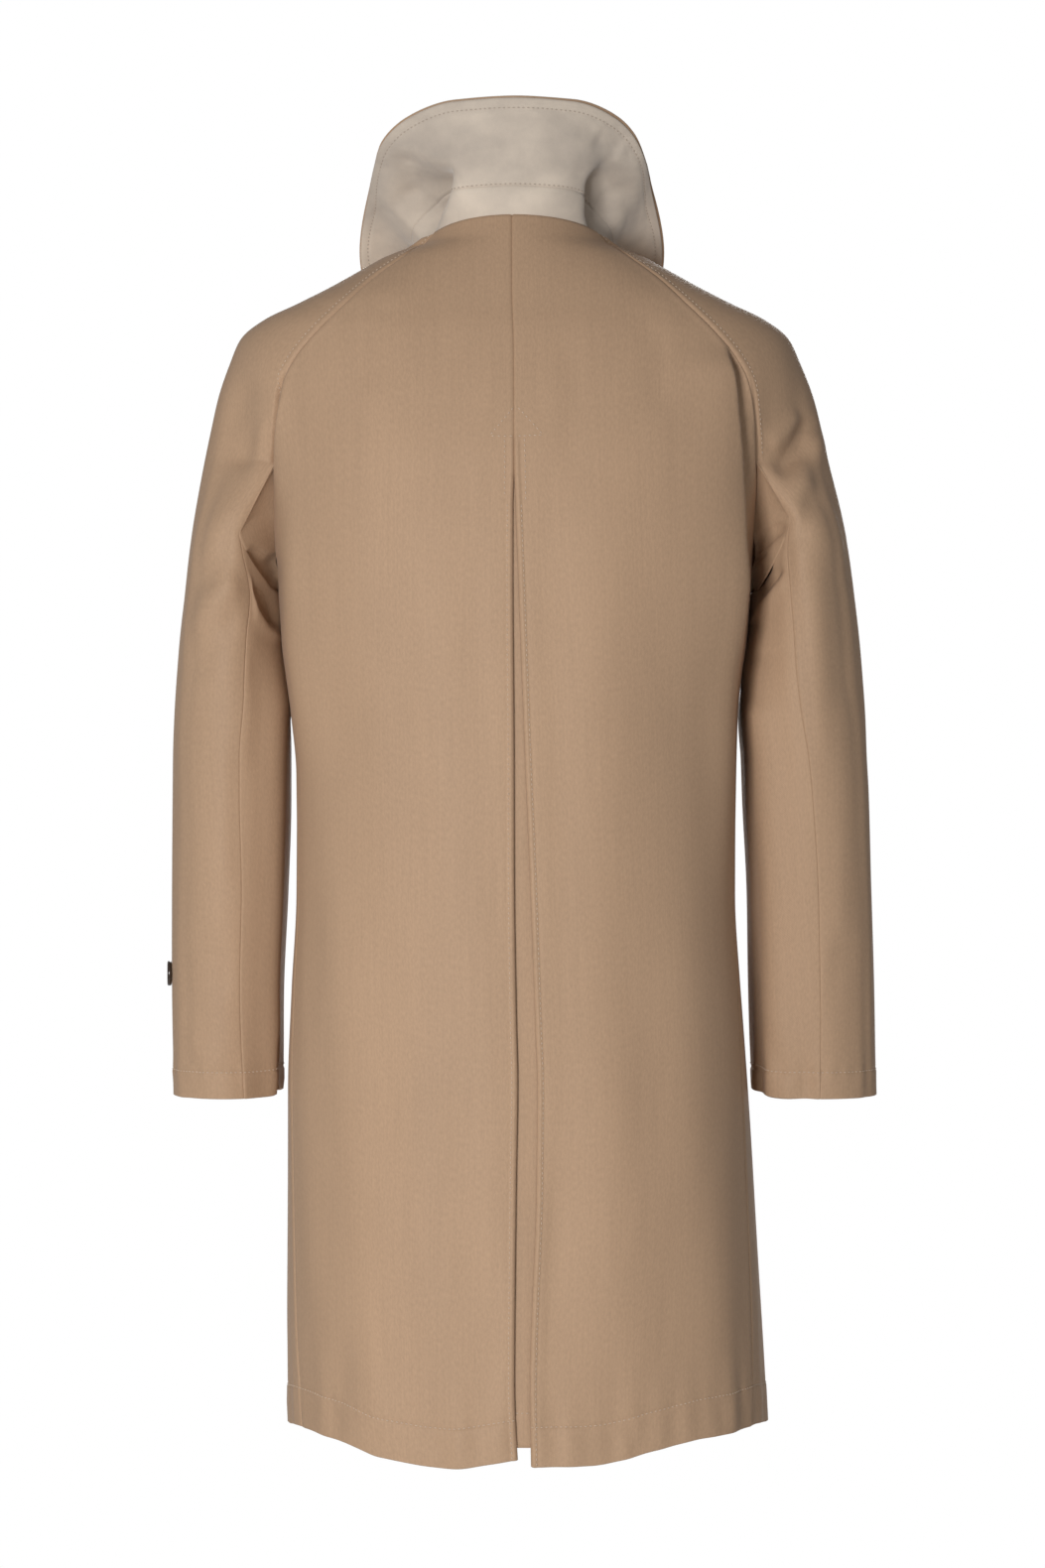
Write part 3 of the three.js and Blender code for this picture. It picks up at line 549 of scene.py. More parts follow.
def lengths_along(points):
    """How far each point of a grid lies from its row's first point, along the row."""
    steps = np.linalg.norm(np.diff(points, axis=1), axis=-1)
    return np.concatenate([np.zeros((len(points), 1)), np.cumsum(steps, axis=1)], axis=1)


def run_along(line):
    """How far each point of a line lies from its first point, along the line."""
    return np.concatenate([[0], np.cumsum(np.linalg.norm(np.diff(line, axis=0), axis=-1))])


def at_runs(where, run, line):
    """The line's points, or other values with one row a point, at runs along it."""
    return np.stack([np.interp(where, run, column) for column in line.T], axis=-1)


def spaced_rows(points, spacing, *others):
    """Each row's points, and the other values with them: set close together near both ends of the
    row, where seams and stitches lie, and evenly between them."""
    lengths = lengths_along(points)
    reach = NEAR_EDGE[-1]
    share = np.linspace(0, 1, int((lengths[:, -1].max() - 2 * reach) / spacing) + 2)[1:-1]
    total = lengths[:, -1:]
    scale = np.minimum(total / (2.6 * reach), 1)
    near = NEAR_EDGE * scale
    between = mix(reach * scale, total - reach * scale, share)
    where = np.concatenate([near, between, total - near[:, ::-1]], axis=1)
    columns = [points[..., 0], points[..., 1], points[..., 2], *others]
    result = [np.array([np.interp(at, run, row) for at, run, row in zip(where, lengths, column)])
              for column in columns]
    return np.stack(result[:3], axis=-1), *result[3:]


def even_steps(place, first, last, spacing, hem):
    """Values of a parameter at which the edge that place gives has points that far apart, closer
    together at the end and round the hem's stitches."""
    dense = np.linspace(first, last, EDGE_SAMPLES)
    run = run_along(place(dense))
    even = np.linspace(0, run[-1], int(run[-1] / spacing) + 1)
    near_hem = np.arange(hem - HEM_REACH, hem + HEM_REACH, FINE_STEP)
    fine = run[-1] - np.concatenate([[0, FINE_STEP, 1.9], near_hem])
    even = even[np.abs(even[:, None] - fine[None, :]).min(axis=1) > 0.6]
    return np.interp(np.sort(np.concatenate([even, fine])), run, dense)


def softened(points, weight, reach):
    """Each column averaged with its neighbours up and down it, as far as the weight says."""
    padded = np.pad(points, ((reach, reach), (0, 0), (0, 0)), mode="edge")
    kernel = np.hanning(2 * reach + 3)[1:-1]
    mean = sum(share * padded[i:i + len(points)] for i, share in enumerate(kernel / kernel.sum()))
    return mix(points, mean, weight[..., None])


def wobble(a, b, seed, size, height):
    """Slow unevenness of hung cloth: a sum of six waves of about that size, with seeded phases."""
    random = np.random.default_rng(seed)
    total = 0
    for _ in range(6):
        angle = random.normal(0, 0.35)
        wave = size * random.uniform(0.6, 1.5)
        phase = random.uniform(0, 2 * math.pi)
        slant = a * math.cos(angle) + 0.35 * b * math.sin(angle)
        total = total + np.sin(2 * math.pi * slant / wave + phase)
    return height * total / 6 ** 0.5


def pucker(along, away, seed, height=0.35, reach=9):
    """Small gathers along a line of stitches, dying away from it: uneven waves 9 to 20 mm long."""
    random = np.random.default_rng(seed)
    total = 0
    for wave in random.uniform(9, 20, 4):
        total = total + np.sin(2 * math.pi * along / wave + random.uniform(0, 2 * math.pi))
    swell = 0.5 + 0.5 * np.sin(along / random.uniform(38, 60) + random.uniform(0, 6))
    return height * swell * total / 2 * np.exp(-np.abs(away) / reach)


def seam_dip(away, depth=1.0, width=1.1):
    return -depth * bump(away, width)


def stitch_dip(away, depth=0.55, width=1.4):
    return -depth * bump(away, width)


def from_line(points, line):
    """How far each point lies from a line of (across, down) places, as the back shows it, and how far
    along the line its nearest place is, from 0 to 1. It is above 0 to the right of a falling line."""
    x, down = points[..., 0], NECK_SEAM_HEIGHT - points[..., 2]
    line = np.array(line, float)
    steps = np.diff(line, axis=0)
    lengths = np.linalg.norm(steps, axis=1)
    starts = np.cumsum(lengths) - lengths
    nearest = np.full(x.shape, 1e9)
    signed = np.zeros(x.shape)
    share = np.zeros(x.shape)
    for (ax, ay), (bx, by), length, start in zip(line[:-1], steps, lengths, starts):
        t = np.clip(((x - ax) * bx + (down - ay) * by) / length ** 2, 0, 1)
        dx, dy = x - ax - t * bx, down - ay - t * by
        distance = np.hypot(dx, dy)
        closer = distance < nearest
        nearest = np.where(closer, distance, nearest)
        signed = np.where(closer, distance * np.where(bx * dy - by * dx < 0, -1, 1), signed)
        share = np.where(closer, (start + t * length) / lengths.sum(), share)
    return signed, share


def creases(points, folds, behind=True):
    """Ridges and troughs laid along lines: each is height * exp(-(distance / width)^2), with its own
    width on either side of its line, fading to nothing over the first and last part of the line."""
    here = points[..., 1] > 0 if behind else points[..., 1] < 0
    total = np.zeros(here.shape)
    for line, height, left, right, *fades in folds:
        first, last = fades or (0.25, 0.25)
        signed, share = from_line(points, line)
        fade = smooth(share, 0, first) * (1 - smooth(share, 1 - last, 1))
        total += height * fade * np.where(signed < 0, bump(signed, left), bump(signed, right))
    edge = smooth(np.abs(points[..., 1]), 4, 30)
    return total * here * edge


# Meshes.

def link(name, data):
    """A new object with the given data, put into the scene."""
    item = bpy.data.objects.new(name, data)
    bpy.context.scene.collection.objects.link(item)
    return item


def mesh_from(name, vertices, faces, uv=None):
    """A mesh from arrays of points in mm and of faces with four corners each."""
    mesh = bpy.data.meshes.new(name)
    mesh.vertices.add(len(vertices))
    mesh.vertices.foreach_set("co", (vertices * MM).astype(np.float32).ravel())
    corners = faces.shape[1]
    mesh.loops.add(faces.size)
    mesh.loops.foreach_set("vertex_index", faces.astype(np.int32).ravel())
    mesh.polygons.add(len(faces))
    mesh.polygons.foreach_set("loop_start", np.arange(0, faces.size, corners, dtype=np.int32))
    mesh.polygons.foreach_set("use_smooth", np.ones(len(faces), dtype=bool))
    if uv is not None:
        layer = mesh.uv_layers.new(name="cloth")
        layer.data.foreach_set("uv", (uv[faces.ravel()] * MM).astype(np.float32).ravel())
    mesh.update(calc_edges=True)
    mesh.validate()
    return mesh


def ring_faces(rings, spokes):
    """Faces with four corners between rings of points that close on themselves."""
    ids = np.arange(rings * spokes).reshape(rings, spokes)
    after = np.roll(ids, -1, axis=1)
    return np.stack([ids[:-1], ids[1:], after[1:], after[:-1]], axis=-1).reshape(-1, 4)


EDGE_ROUNDING = 0.3
INNER_RELIEF = 0.6


def wall_mesh(name, outer, inner, uv):
    """A closed wall between an outer and an inner grid, with a rounded edge all round."""
    rows, columns = outer.shape[:2]
    ids = np.arange(rows * columns).reshape(rows, columns)
    quads = np.stack([ids[:-1, :-1], ids[:-1, 1:], ids[1:, 1:], ids[1:, :-1]], axis=-1).reshape(-1, 4)
    within = quads[:, ::-1] + rows * columns
    loop = np.concatenate([ids[0, :-1], ids[:-1, -1], ids[-1, :0:-1], ids[:0:-1, 0]])
    next_in = np.concatenate([ids[1, :-1], ids[:-1, -2], ids[-2, :0:-1], ids[:0:-1, 1]])
    flat, deep = outer.reshape(-1, 3), inner.reshape(-1, 3)
    middle = (flat[loop] + deep[loop]) / 2
    thickness = np.linalg.norm(flat[loop] - deep[loop], axis=-1, keepdims=True)
    middle = middle + unit(flat[loop] - flat[next_in]) * thickness * EDGE_ROUNDING
    ring = 2 * rows * columns + np.arange(len(loop))
    after = np.roll(loop, -1)
    ring_after = np.roll(ring, -1)
    rim = np.stack([after, loop, ring, ring_after], axis=-1)
    base = np.stack([ring_after, ring, loop + rows * columns, after + rows * columns], axis=-1)
    faces = np.concatenate([quads, within, rim, base])
    row, column = rows // 2, columns // 2
    here = outer[row, column]
    across, down = outer[row, column + 1] - here, outer[row + 1, column] - here
    if np.dot(np.cross(across, down), here - inner[row, column]) < 0:
        faces = faces[:, ::-1]
    flat_uv = uv.reshape(-1, 2)
    return mesh_from(name, np.concatenate([flat, deep, middle]), faces,
                     np.concatenate([flat_uv, flat_uv, flat_uv[loop]]))


def cloth_uv(points, grain):
    """Coordinates on the cloth in mm: along each row from its grain line, which lies at that share of
    the row, and down each column from the first row."""
    across = lengths_along(points)
    across = across - across[:, -1:] * grain
    fall = turned(lengths_along(turned(points)))
    return np.stack([across, fall], axis=-1)


def fitted(name, mesh, finish, node=None):
    """A piece of the coat with its finish, which stands for a node of the frame where one is given."""
    piece = link(name, mesh)
    piece.data.materials.append(finish)
    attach(piece, "root")
    if node:
        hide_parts(node)
    return piece


def cloth_piece(node, points, thickness, inside, finish, relief=0, depth=0, grain=0.5):
    """A wall of cloth: the grid moved out by its relief and in by its depth, with its thickness."""
    normals = normals_of(points, inside)
    outer = points + normals * (np.asarray(relief)[..., None] - depth)
    shown = normals_of(outer, inside)
    inner = points - normals * (thickness + depth) + normals * INNER_RELIEF * np.asarray(relief)[..., None]
    name = f"{node}_suede" if finish is SUEDE_FINISH else f"{node}_cloth"
    piece = fitted(name, wall_mesh(name, outer, inner, cloth_uv(points, grain)), finish, node)
    width, length = (float(lengths_along(grid)[:, -1].max()) * MM for grid in (points, turned(points)))
    min(sheet_area(points), width * length)
    return outer, shown


def sheet_area(points):
    """The area of a grid in square metres: half the cross product of each cell's diagonals."""
    diagonals = np.cross(points[1:, 1:] - points[:-1, :-1], points[1:, :-1] - points[:-1, 1:])
    return float(np.linalg.norm(diagonals, axis=-1).sum() / 2) * MM * MM


# Materials.

class Value:
    """One socket of a shader, so that sums and products of it add their Math nodes."""

    def __init__(self, maker, socket):
        self.maker = maker
        self.socket = socket

    def _math(self, operation, *values):
        return self.maker.node("ShaderNodeMath", {"operation": operation}, dict(enumerate(values)))

    def __add__(self, other):
        return self._math("ADD", self, other)

    __radd__ = __add__

    def __mul__(self, other):
        return self._math("MULTIPLY", self, other)

    __rmul__ = __mul__

    def __sub__(self, other):
        return self._math("SUBTRACT", self, other)

    def __rsub__(self, other):
        return self._math("SUBTRACT", other, self)

    def sine(self):
        return self._math("SINE", self)

    def clamped(self):
        return self.maker.node("ShaderNodeClamp", {}, {0: self})


class Finish:
    """A material under construction. node() adds any node from its type, settings and sockets."""

    def __init__(self, name):
        self.material = bpy.data.materials.new(name)
        self.material.use_nodes = True
        self.tree = self.material.node_tree
        self.tree.nodes.clear()
        self.uv = Value(self, self.tree.nodes.new("ShaderNodeTexCoord").outputs["UV"])
        self.place = Value(self, self.tree.nodes.new("ShaderNodeTexCoord").outputs["Object"])

    def node(self, kind, settings, values, output=0):
        node = self.tree.nodes.new(kind)
        for name, setting in settings.items():
            setattr(node, name, setting)
        for key, value in values.items():
            socket = node.inputs[key]
            if isinstance(value, Value):
                self.tree.links.new(value.socket, socket)
            else:
                socket.default_value = value
        return Value(self, node.outputs[output])

    def noise(self, scale, detail=2.0, stretch=(1, 1, 1), roughness=0.5, place=None):
        mapped = self.node("ShaderNodeMapping", {}, {"Vector": place or self.uv, "Scale": stretch})
        return self.node("ShaderNodeTexNoise", {}, {
            "Vector": mapped, "Scale": scale, "Detail": detail, "Roughness": roughness})

    def split(self, vector):
        node = self.tree.nodes.new("ShaderNodeSeparateXYZ")
        self.tree.links.new(vector.socket, node.inputs[0])
        return [Value(self, out) for out in node.outputs]

    def blend(self, factor, first, second):
        values = {"Factor": factor, 6: first, 7: second}
        return self.node("ShaderNodeMix", {"data_type": "RGBA"}, values, output=2)

    def bumped(self, height, strength, distance, normal=None):
        values = {"Height": height, "Strength": strength, "Distance": distance}
        if normal is not None:
            values["Normal"] = normal
        return self.node("ShaderNodeBump", {}, values)

    def finished(self, sockets, constants):
        values = {**constants, **sockets}
        shader = self.node("ShaderNodeBsdfPrincipled", {}, values)
        output = self.tree.nodes.new("ShaderNodeOutputMaterial")
        self.tree.links.new(shader.socket, output.inputs["Surface"])
        return self.material


def colour(red, green, blue, factor=1.0):
    return (red * factor, green * factor, blue * factor, 1.0)


TAN = (0.45, 0.297, 0.19)
DARK_SUEDE = (0.455, 0.39, 0.33)
PALE_SUEDE = (0.70, 0.60, 0.495)
BUTTON_BLACK = (0.012, 0.008, 0.006)
BUTTON_BROWN = (0.055, 0.032, 0.02)
TWILL_LINES = 520


def gabardine():
    """Cotton gabardine: a fine steep twill in bump, slow clouds of shade and a soft satin sheen."""
    finish = Finish("tan_gabardine")
    across, fall, _ = finish.split(finish.uv)
    twill = ((across * 1.9 + fall * 0.9) * (2 * math.pi * TWILL_LINES)).sine() * 0.5 + 0.5
    thread = finish.noise(2600, 1, (1, 0.25, 1))
    cloud = finish.noise(7, 3, (1.6, 0.5, 1), 0.55)
    slub = finish.noise(150, 3, (3.0, 0.07, 1), 0.6)
    fleck = finish.noise(430, 2, (1.5, 0.6, 1), 0.6)
    shade = cloud * 0.7 + slub * 0.4 + fleck * 0.9 + twill * 0.12 - 0.56
    tone = finish.blend(shade.clamped(), colour(*TAN, 0.82), colour(*TAN, 1.18))
    weave = finish.bumped(twill * 0.7 + thread * 0.3, 0.22, 0.00018)
    grain = finish.bumped(finish.noise(60, 4, (1.2, 0.6, 1)), 0.10, 0.0012, weave)
    rough = cloud * 0.10 + 0.54
    return finish.finished(
        {"Base Color": tone, "Roughness": rough, "Normal": grain},
        {"Sheen Weight": 0.06, "Sheen Roughness": 0.4, "Specular IOR Level": 0.16},
    )


def suede():
    """Brushed suede: a short nap in bump, patches brushed lighter and darker, no gloss."""
    finish = Finish("grey_beige_suede")
    patch = finish.noise(22, 4, (1, 1, 1), 0.6, finish.place)
    nap = finish.noise(1500, 3, (1, 1, 1), 0.7, finish.place)
    cloud = finish.noise(9, 3, (1, 1, 2.2), 0.6, finish.place)
    shade = patch * 1.6 + cloud * 1.7 + nap * 0.5 - 1.4
    tone = finish.blend(shade.clamped(), colour(*DARK_SUEDE), colour(*PALE_SUEDE))
    height = finish.bumped(nap * 0.7 + patch * 0.3, 0.35, 0.0005)
    return finish.finished(
        {"Base Color": tone, "Normal": height, "Roughness": patch * 0.06 + 0.9},
        {"Sheen Weight": 0.35, "Sheen Roughness": 0.5, "Specular IOR Level": 0.15},
    )


def polished_button():
    """Dark brown horn-like button: slow swirls of brown under a polish with fine scratches."""
    finish = Finish("dark_brown_button")
    swirl = finish.noise(90, 4, (1, 1, 0.4), 0.6, finish.place)
    tone = finish.blend(swirl, colour(*BUTTON_BLACK), colour(*BUTTON_BROWN))
    scratch = finish.bumped(finish.noise(900, 2, (1, 0.2, 1), 0.6, finish.place), 0.05, 0.0002)
    return finish.finished(
        {"Base Color": tone, "Roughness": swirl * 0.12 + 0.22, "Normal": scratch},
        {"Coat Weight": 0.3, "Coat Roughness": 0.12},
    )


def thread(name, *shade):
    """Twisted sewing thread: fine diagonal strands in bump and shade."""
    finish = Finish(name)
    strand = finish.noise(2400, 2, (1, 1, 1), 0.5, finish.place)
    tone = finish.blend(strand, colour(*shade, factor=0.85), colour(*shade, factor=1.1))
    twist = finish.bumped(strand, 0.3, 0.0002)
    return finish.finished(
        {"Base Color": tone, "Normal": twist, "Roughness": strand * 0.1 + 0.55},
        {"Sheen Weight": 0.2},
    )


CLOTH_FINISH = gabardine()
SUEDE_FINISH = suede()
BUTTON_FINISH = polished_button()
TAN_THREAD = thread("tan_thread", 0.58, 0.45, 0.33)
SUEDE_THREAD = thread("suede_thread", 0.42, 0.34, 0.27)
DARK_THREAD = thread("dark_thread", 0.10, 0.065, 0.045)

# The camera comes first: 3 m behind the coat, level, 425 mm below the shoulder line.
CAMERA = {"across": -5.2, "distance": 3000, "down": 425, "focal_px": 3750, "long_side_px": 1580}
SENSOR = 36


def looking(name, data, place, direction):
    """A camera or a lamp at a place in metres that looks in a direction."""
    item = link(name, data)
    item.location = place
    item.rotation_mode = "QUATERNION"
    item.rotation_quaternion = direction.to_track_quat("-Z", "Y")
    return item


def add_camera():
    data = bpy.data.cameras.new("camera")
    data.sensor_width = SENSOR
    data.lens = CAMERA["focal_px"] / CAMERA["long_side_px"] * SENSOR
    place = (CAMERA["across"] * MM, CAMERA["distance"] * MM, -CAMERA["down"] * MM)
    bpy.context.scene.camera = looking("camera", data, place, Vector((0, -1, 0)))


# The coat's pieces.

STITCH_LINES = []


def note_stitches(name, points, normals, finish=TAN_THREAD):
    """Keeps a line of stitches until every piece is made, when add_stitches sews them all."""
    STITCH_LINES.append((name, points, normals, finish))


def line_with_normals(points, normals, distance, from_end=False):
    """A line at a distance from each row's start or end on a grid, with the surface's normals."""
    lengths = lengths_along(points)
    where = lengths[:, -1] - distance if from_end else lengths[:, 0] + distance
    line, facing = (np.array([at_runs(d, run, row) for d, run, row in zip(where, lengths, grid)])
                    for grid in (points, normals))
    return line, unit(facing)


def stitch_row(name, points, normals, distance, from_end=False, keep=slice(None), finish=TAN_THREAD):
    """Notes a line of stitches at a distance from each row's start or end, on the rows to keep."""
    line, facing = line_with_normals(points, normals, distance, from_end)
    rows = keep(line) if callable(keep) else keep
    note_stitches(name, line[rows], facing[rows], finish)


def stitch_hem(name, points, normals, depth):
    """Notes the stitches of a hem, at its depth above the last row of a grid."""
    stitch_row(name, turned(points), turned(normals), depth, True)


def body_relief(side, front, points, down, turn):
    """A body panel's small forms: hung cloth's unevenness, its creases, its seams and turned edges."""
    run = lengths_along(points)
    inner, outer = (run[:, -1:] - run, run) if front else (run, run[:, -1:] - run)
    hem = HEM[side](np.clip(turn, 0, 180)) - down
    seed = BODY_SEED + 2 * front + (side == "left")
    fade = smooth(outer, 4, 40) * smooth(inner, 3, 30)
    relief = wobble(run, down, seed, *BODY_WOBBLE) * fade * smooth(down, 60, 260)
    folds = FRONT_CREASES if front else BACK_CREASES
    relief += creases(points, folds[side], not front) * smooth(outer, 0.5, 5) * smooth(inner, 2, 14)
    relief += seam_dip(outer) + 0.35 * bump(outer - 5, 4)
    relief += hem_relief(hem, HEM_DEPTH, run, seed)
    edge_relief = front_edge_relief if front else back_edge_relief
    return relief + edge_relief(inner, down, seed)


def below_triangle(line):
    """Which points of a vent's stitch line lie below the stitched triangle."""
    return line[:, 2] < NECK_SEAM_HEIGHT - VENT_STITCH_TOP


def add_body_panel(side, front):
    surface = front_surface if front else back_surface

    def edge(rows):
        down, turn = edge_place(side, rows, front)
        return body_point(side, down, turn)

    rows = even_steps(edge, 0, LAST_ROW, BODY_ROWS, HEM_DEPTH)[:, None]
    dense, down, turn = surface(side, rows, np.linspace(0, 1, BODY_SAMPLES)[None, :])
    points, down, turn = spaced_rows(dense, BODY_GRID, down, turn)
    relief = body_relief(side, front, points, down, turn)
    name = f"{'front' if front else 'back'}_{side}"
    shown, normals = cloth_piece(
        name, points, CLOTH, inside_of("body"), CLOTH_FINISH, relief, grain=float(front))
    stitch_hem(f"{name}_hem_stitches", shown, normals, HEM_DEPTH)
    if front:
        stitch_row(f"{name}_edge_stitches", shown, normals, FRONT_STITCH, True)
    else:
        stitch_row(f"{name}_vent_stitches", shown, normals, VENT_STITCH, keep=below_triangle)
        add_triangle(side, shown, normals)


def hem_relief(hem, depth, along, seed):
    """A turned-up hem: a doubled layer below its stitches, a dip at them and small gathers."""
    doubled = DOUBLED_LAYER * (1 - smooth(hem, depth - 2, depth + 1))
    slack = pucker(along * 0.4, hem - depth * 0.5, seed + 20, *HEM_SLACK)
    gathers = pucker(along, hem - depth, seed + 40, *HEM_GATHERS)
    return doubled + slack + stitch_dip(hem - depth, 0.4) + gathers


def back_edge_relief(inner, down, seed):
    """The seam down the back, and below the stitched triangle the vent's pressed fold."""
    opened = smooth(down, TRIANGLE_BASE - 4, TRIANGLE_BASE + 6)
    seam = seam_dip(inner, 0.9, 1.0) * (1 - opened)
    gathers = pucker(down, inner - VENT_STITCH, seed + 60, *VENT_GATHERS)
    return seam + opened * (ridges(inner, VENT_FOLD) + stitch_dip(inner - VENT_STITCH) + gathers)


def front_edge_relief(inner, down, seed):
    """The front edge: a doubled layer, a line of stitches and small gathers."""
    fold = FRONT_LAYER * (1 - smooth(inner, 30, 34)) - 0.8 * bump(inner, 1.2)
    gathers = pucker(down, inner - FRONT_STITCH, seed + 60, *FRONT_GATHERS)
    return fold + stitch_dip(inner - FRONT_STITCH) + gathers


# The underlay lies against the back panels at its top and sinks behind them lower down, and one
# pressed line runs down it.
UNDERLAY_SINK = {"depth": 1.6, "top": 225, "bottom": 420}
UNDERLAY_LINE = {"depth": 0.35, "across": -10.5, "width": 1.2}


def add_underlay():
    """The strip behind the vent: the body's form moved in past the back panels' wall."""
    downs = np.linspace(UNDERLAY["top"], UNDERLAY["bottom"], UNDERLAY_GRID["rows"])[:, None]
    across = np.linspace(UNDERLAY["left"], -UNDERLAY["right"], UNDERLAY_GRID["columns"])[None, :]
    left, right = (body_point(side, downs, turn_at(side, downs, np.maximum(sign_of(side) * across, 0)))
                   for side in ("left", "right"))
    points = np.where((across > 0)[..., None], left, right)
    hem = UNDERLAY["bottom"] - downs + 0 * across
    relief = wobble(across, downs, UNDERLAY_SEED, *UNDERLAY_WOBBLE)
    relief += hem_relief(hem, UNDERLAY_HEM, across, UNDERLAY_SEED + 3) * 0.6
    relief -= UNDERLAY_LINE["depth"] * bump(across - UNDERLAY_LINE["across"], UNDERLAY_LINE["width"])
    relief -= UNDERLAY_SINK["depth"] * smooth(downs, UNDERLAY_SINK["top"], UNDERLAY_SINK["bottom"])
    name = "vent_underlay"
    shown, normals = cloth_piece(
        name, points, CLOTH, inside_of("body"), CLOTH_FINISH, relief, depth=CLOTH + LAYER_GAP)
    stitch_hem(f"{name}_hem_stitches", shown, normals, UNDERLAY_HEM)


# Creases: each is a line of (across, down) places as the back shows them, left sides
# above 0, then its height (a trough's is below 0), its width to the left and the right of the line,
# and the parts of the line over which it fades in and out.
BACK_CREASES = {
    "left": [
        ([(176, 150), (178, 240), (172, 330)], 2, 12, 10),
        ([(186, 128), (185.5, 210), (187, 285)], 2.7, 5, 7, 0.2, 0.2),
        ([(140, 340), (128, 470), (118, 600)], -1.7, 26, 18),
        ([(96, 60), (112, 100), (118, 150)], -1.4, 12, 16),
        ([(70, 640), (62, 780), (66, 930)], 2.4, 30, 22),
        ([(30, 760), (24, 880), (28, 950)], -2, 22, 18, 0.4, 0.1),
        ([(134, 850), (137, 910), (140, 962)], -2.4, 9, 11, 0.5, 0.05),
        ([(112, 880), (108, 920), (104, 966)], 1.5, 10, 10, 0.5, 0.05),
        ([(149, 922), (142, 937), (135, 947)], -1.5, 5, 5, 0.3, 0.3),
        ([(113, 940), (104, 953), (96, 961)], -1.4, 5, 5, 0.3, 0.3),
        ([(150, 700), (146, 850), (152, 950)], -2.2, 20, 26, 0.4, 0.1),
    ],
    "right": [
        ([(-164, 100), (-169.3, 130), (-173.6, 184), (-176.1, 229), (-178, 290), (-176, 365)],
         6.5, 30, 1.7, 0.1, 0.3),
        ([(-166.1, 104), (-171.4, 132), (-175.8, 185), (-178.3, 229), (-180.2, 285)],
         -6.5, 1.7, 8, 0.1, 0.2),
        ([(-184, 160), (-186.5, 200), (-186, 235)], 1.8, 4, 4),
        ([(-120, 300), (-132, 440), (-126, 600)], -1.8, 22, 26),
        ([(-92, 70), (-110, 110), (-112, 170)], -1.4, 14, 12),
        ([(-76, 600), (-84, 760), (-78, 940)], 2.8, 26, 30),
        ([(-34, 700), (-30, 850), (-36, 950)], -1.8, 20, 20, 0.4, 0.1),
        ([(-150, 640), (-160, 800), (-154, 950)], -2.4, 24, 20, 0.4, 0.1),
        ([(-36, 96), (-44, 140), (-40, 220)], -0.9, 10, 12),
        ([(-85, 930), (-89, 949), (-93, 964)], -1.8, 5, 6, 0.3, 0.2),
    ],
}
FRONT_CREASES = {
    "left": [
        ([(176, 160), (178, 250), (170, 350)], 2.2, 14, 8),
        ([(120, 110), (140, 190), (150, 270)], -2.1, 14, 10),
        ([(90, 560), (104, 740), (98, 940)], 2.7, 26, 30, 0.3, 0.1),
        ([(40, 200), (52, 420), (44, 640)], -1.4, 24, 20),
        ([(50, 700), (44, 860), (52, 950)], -2, 22, 20, 0.4, 0.1),
    ],
    "right": [
        ([(-174, 160), (-177, 250), (-168, 350)], 2.2, 8, 14),
        ([(-118, 110), (-142, 190), (-148, 270)], -2.1, 10, 14),
        ([(-92, 560), (-100, 740), (-104, 940)], 2.5, 30, 26, 0.3, 0.1),
        ([(-44, 240), (-56, 430), (-50, 660)], -1.4, 20, 24),
    ],
}
SLEEVE_CREASES = {
    "left": [
        ([(205, 238), (228, 258), (252, 300)], -4, 11, 12),
        ([(212, 282), (236, 300), (262, 332)], 2.7, 11, 11),
        ([(214, 310), (240, 336), (262, 372)], -2.3, 12, 12),
        ([(210, 120), (222, 160), (214, 205)], -2.9, 9, 12),
        ([(196, 150), (203, 190), (200, 232)], 2.3, 7, 8),
        ([(262, 560), (240, 585), (226, 622)], -1.6, 14, 14),
        ([(268, 640), (252, 662), (232, 676)], 1.4, 10, 10),
        ([(225, 400), (232, 470), (228, 540)], 1.6, 16, 18),
    ],
    "right": [
        ([(-243, 160), (-236, 188), (-219, 224)], 4.3, 9, 9),
        ([(-238, 150), (-224, 178), (-204, 206)], -4.7, 8, 7),
        ([(-228, 150), (-214, 168), (-198, 182)], 2.9, 8, 6),
        ([(-240, 212), (-228, 236), (-217, 262)], -2.9, 9, 10),
        ([(-219, 228), (-216, 256), (-222, 300)], 2.3, 6, 10),
        ([(-250, 250), (-258, 330), (-262, 400)], -2.9, 15, 15),
        ([(-232, 280), (-240, 360), (-238, 440)], 1.8, 14, 14),
        ([(-270, 560), (-250, 600), (-236, 640)], -1.6, 14, 14),
    ],
}


def mirrored(folds):
    """The same creases on the other side of the coat."""
    return [([(-across, down) for across, down in line], height, right, left, *fades)
            for line, height, left, right, *fades in folds]


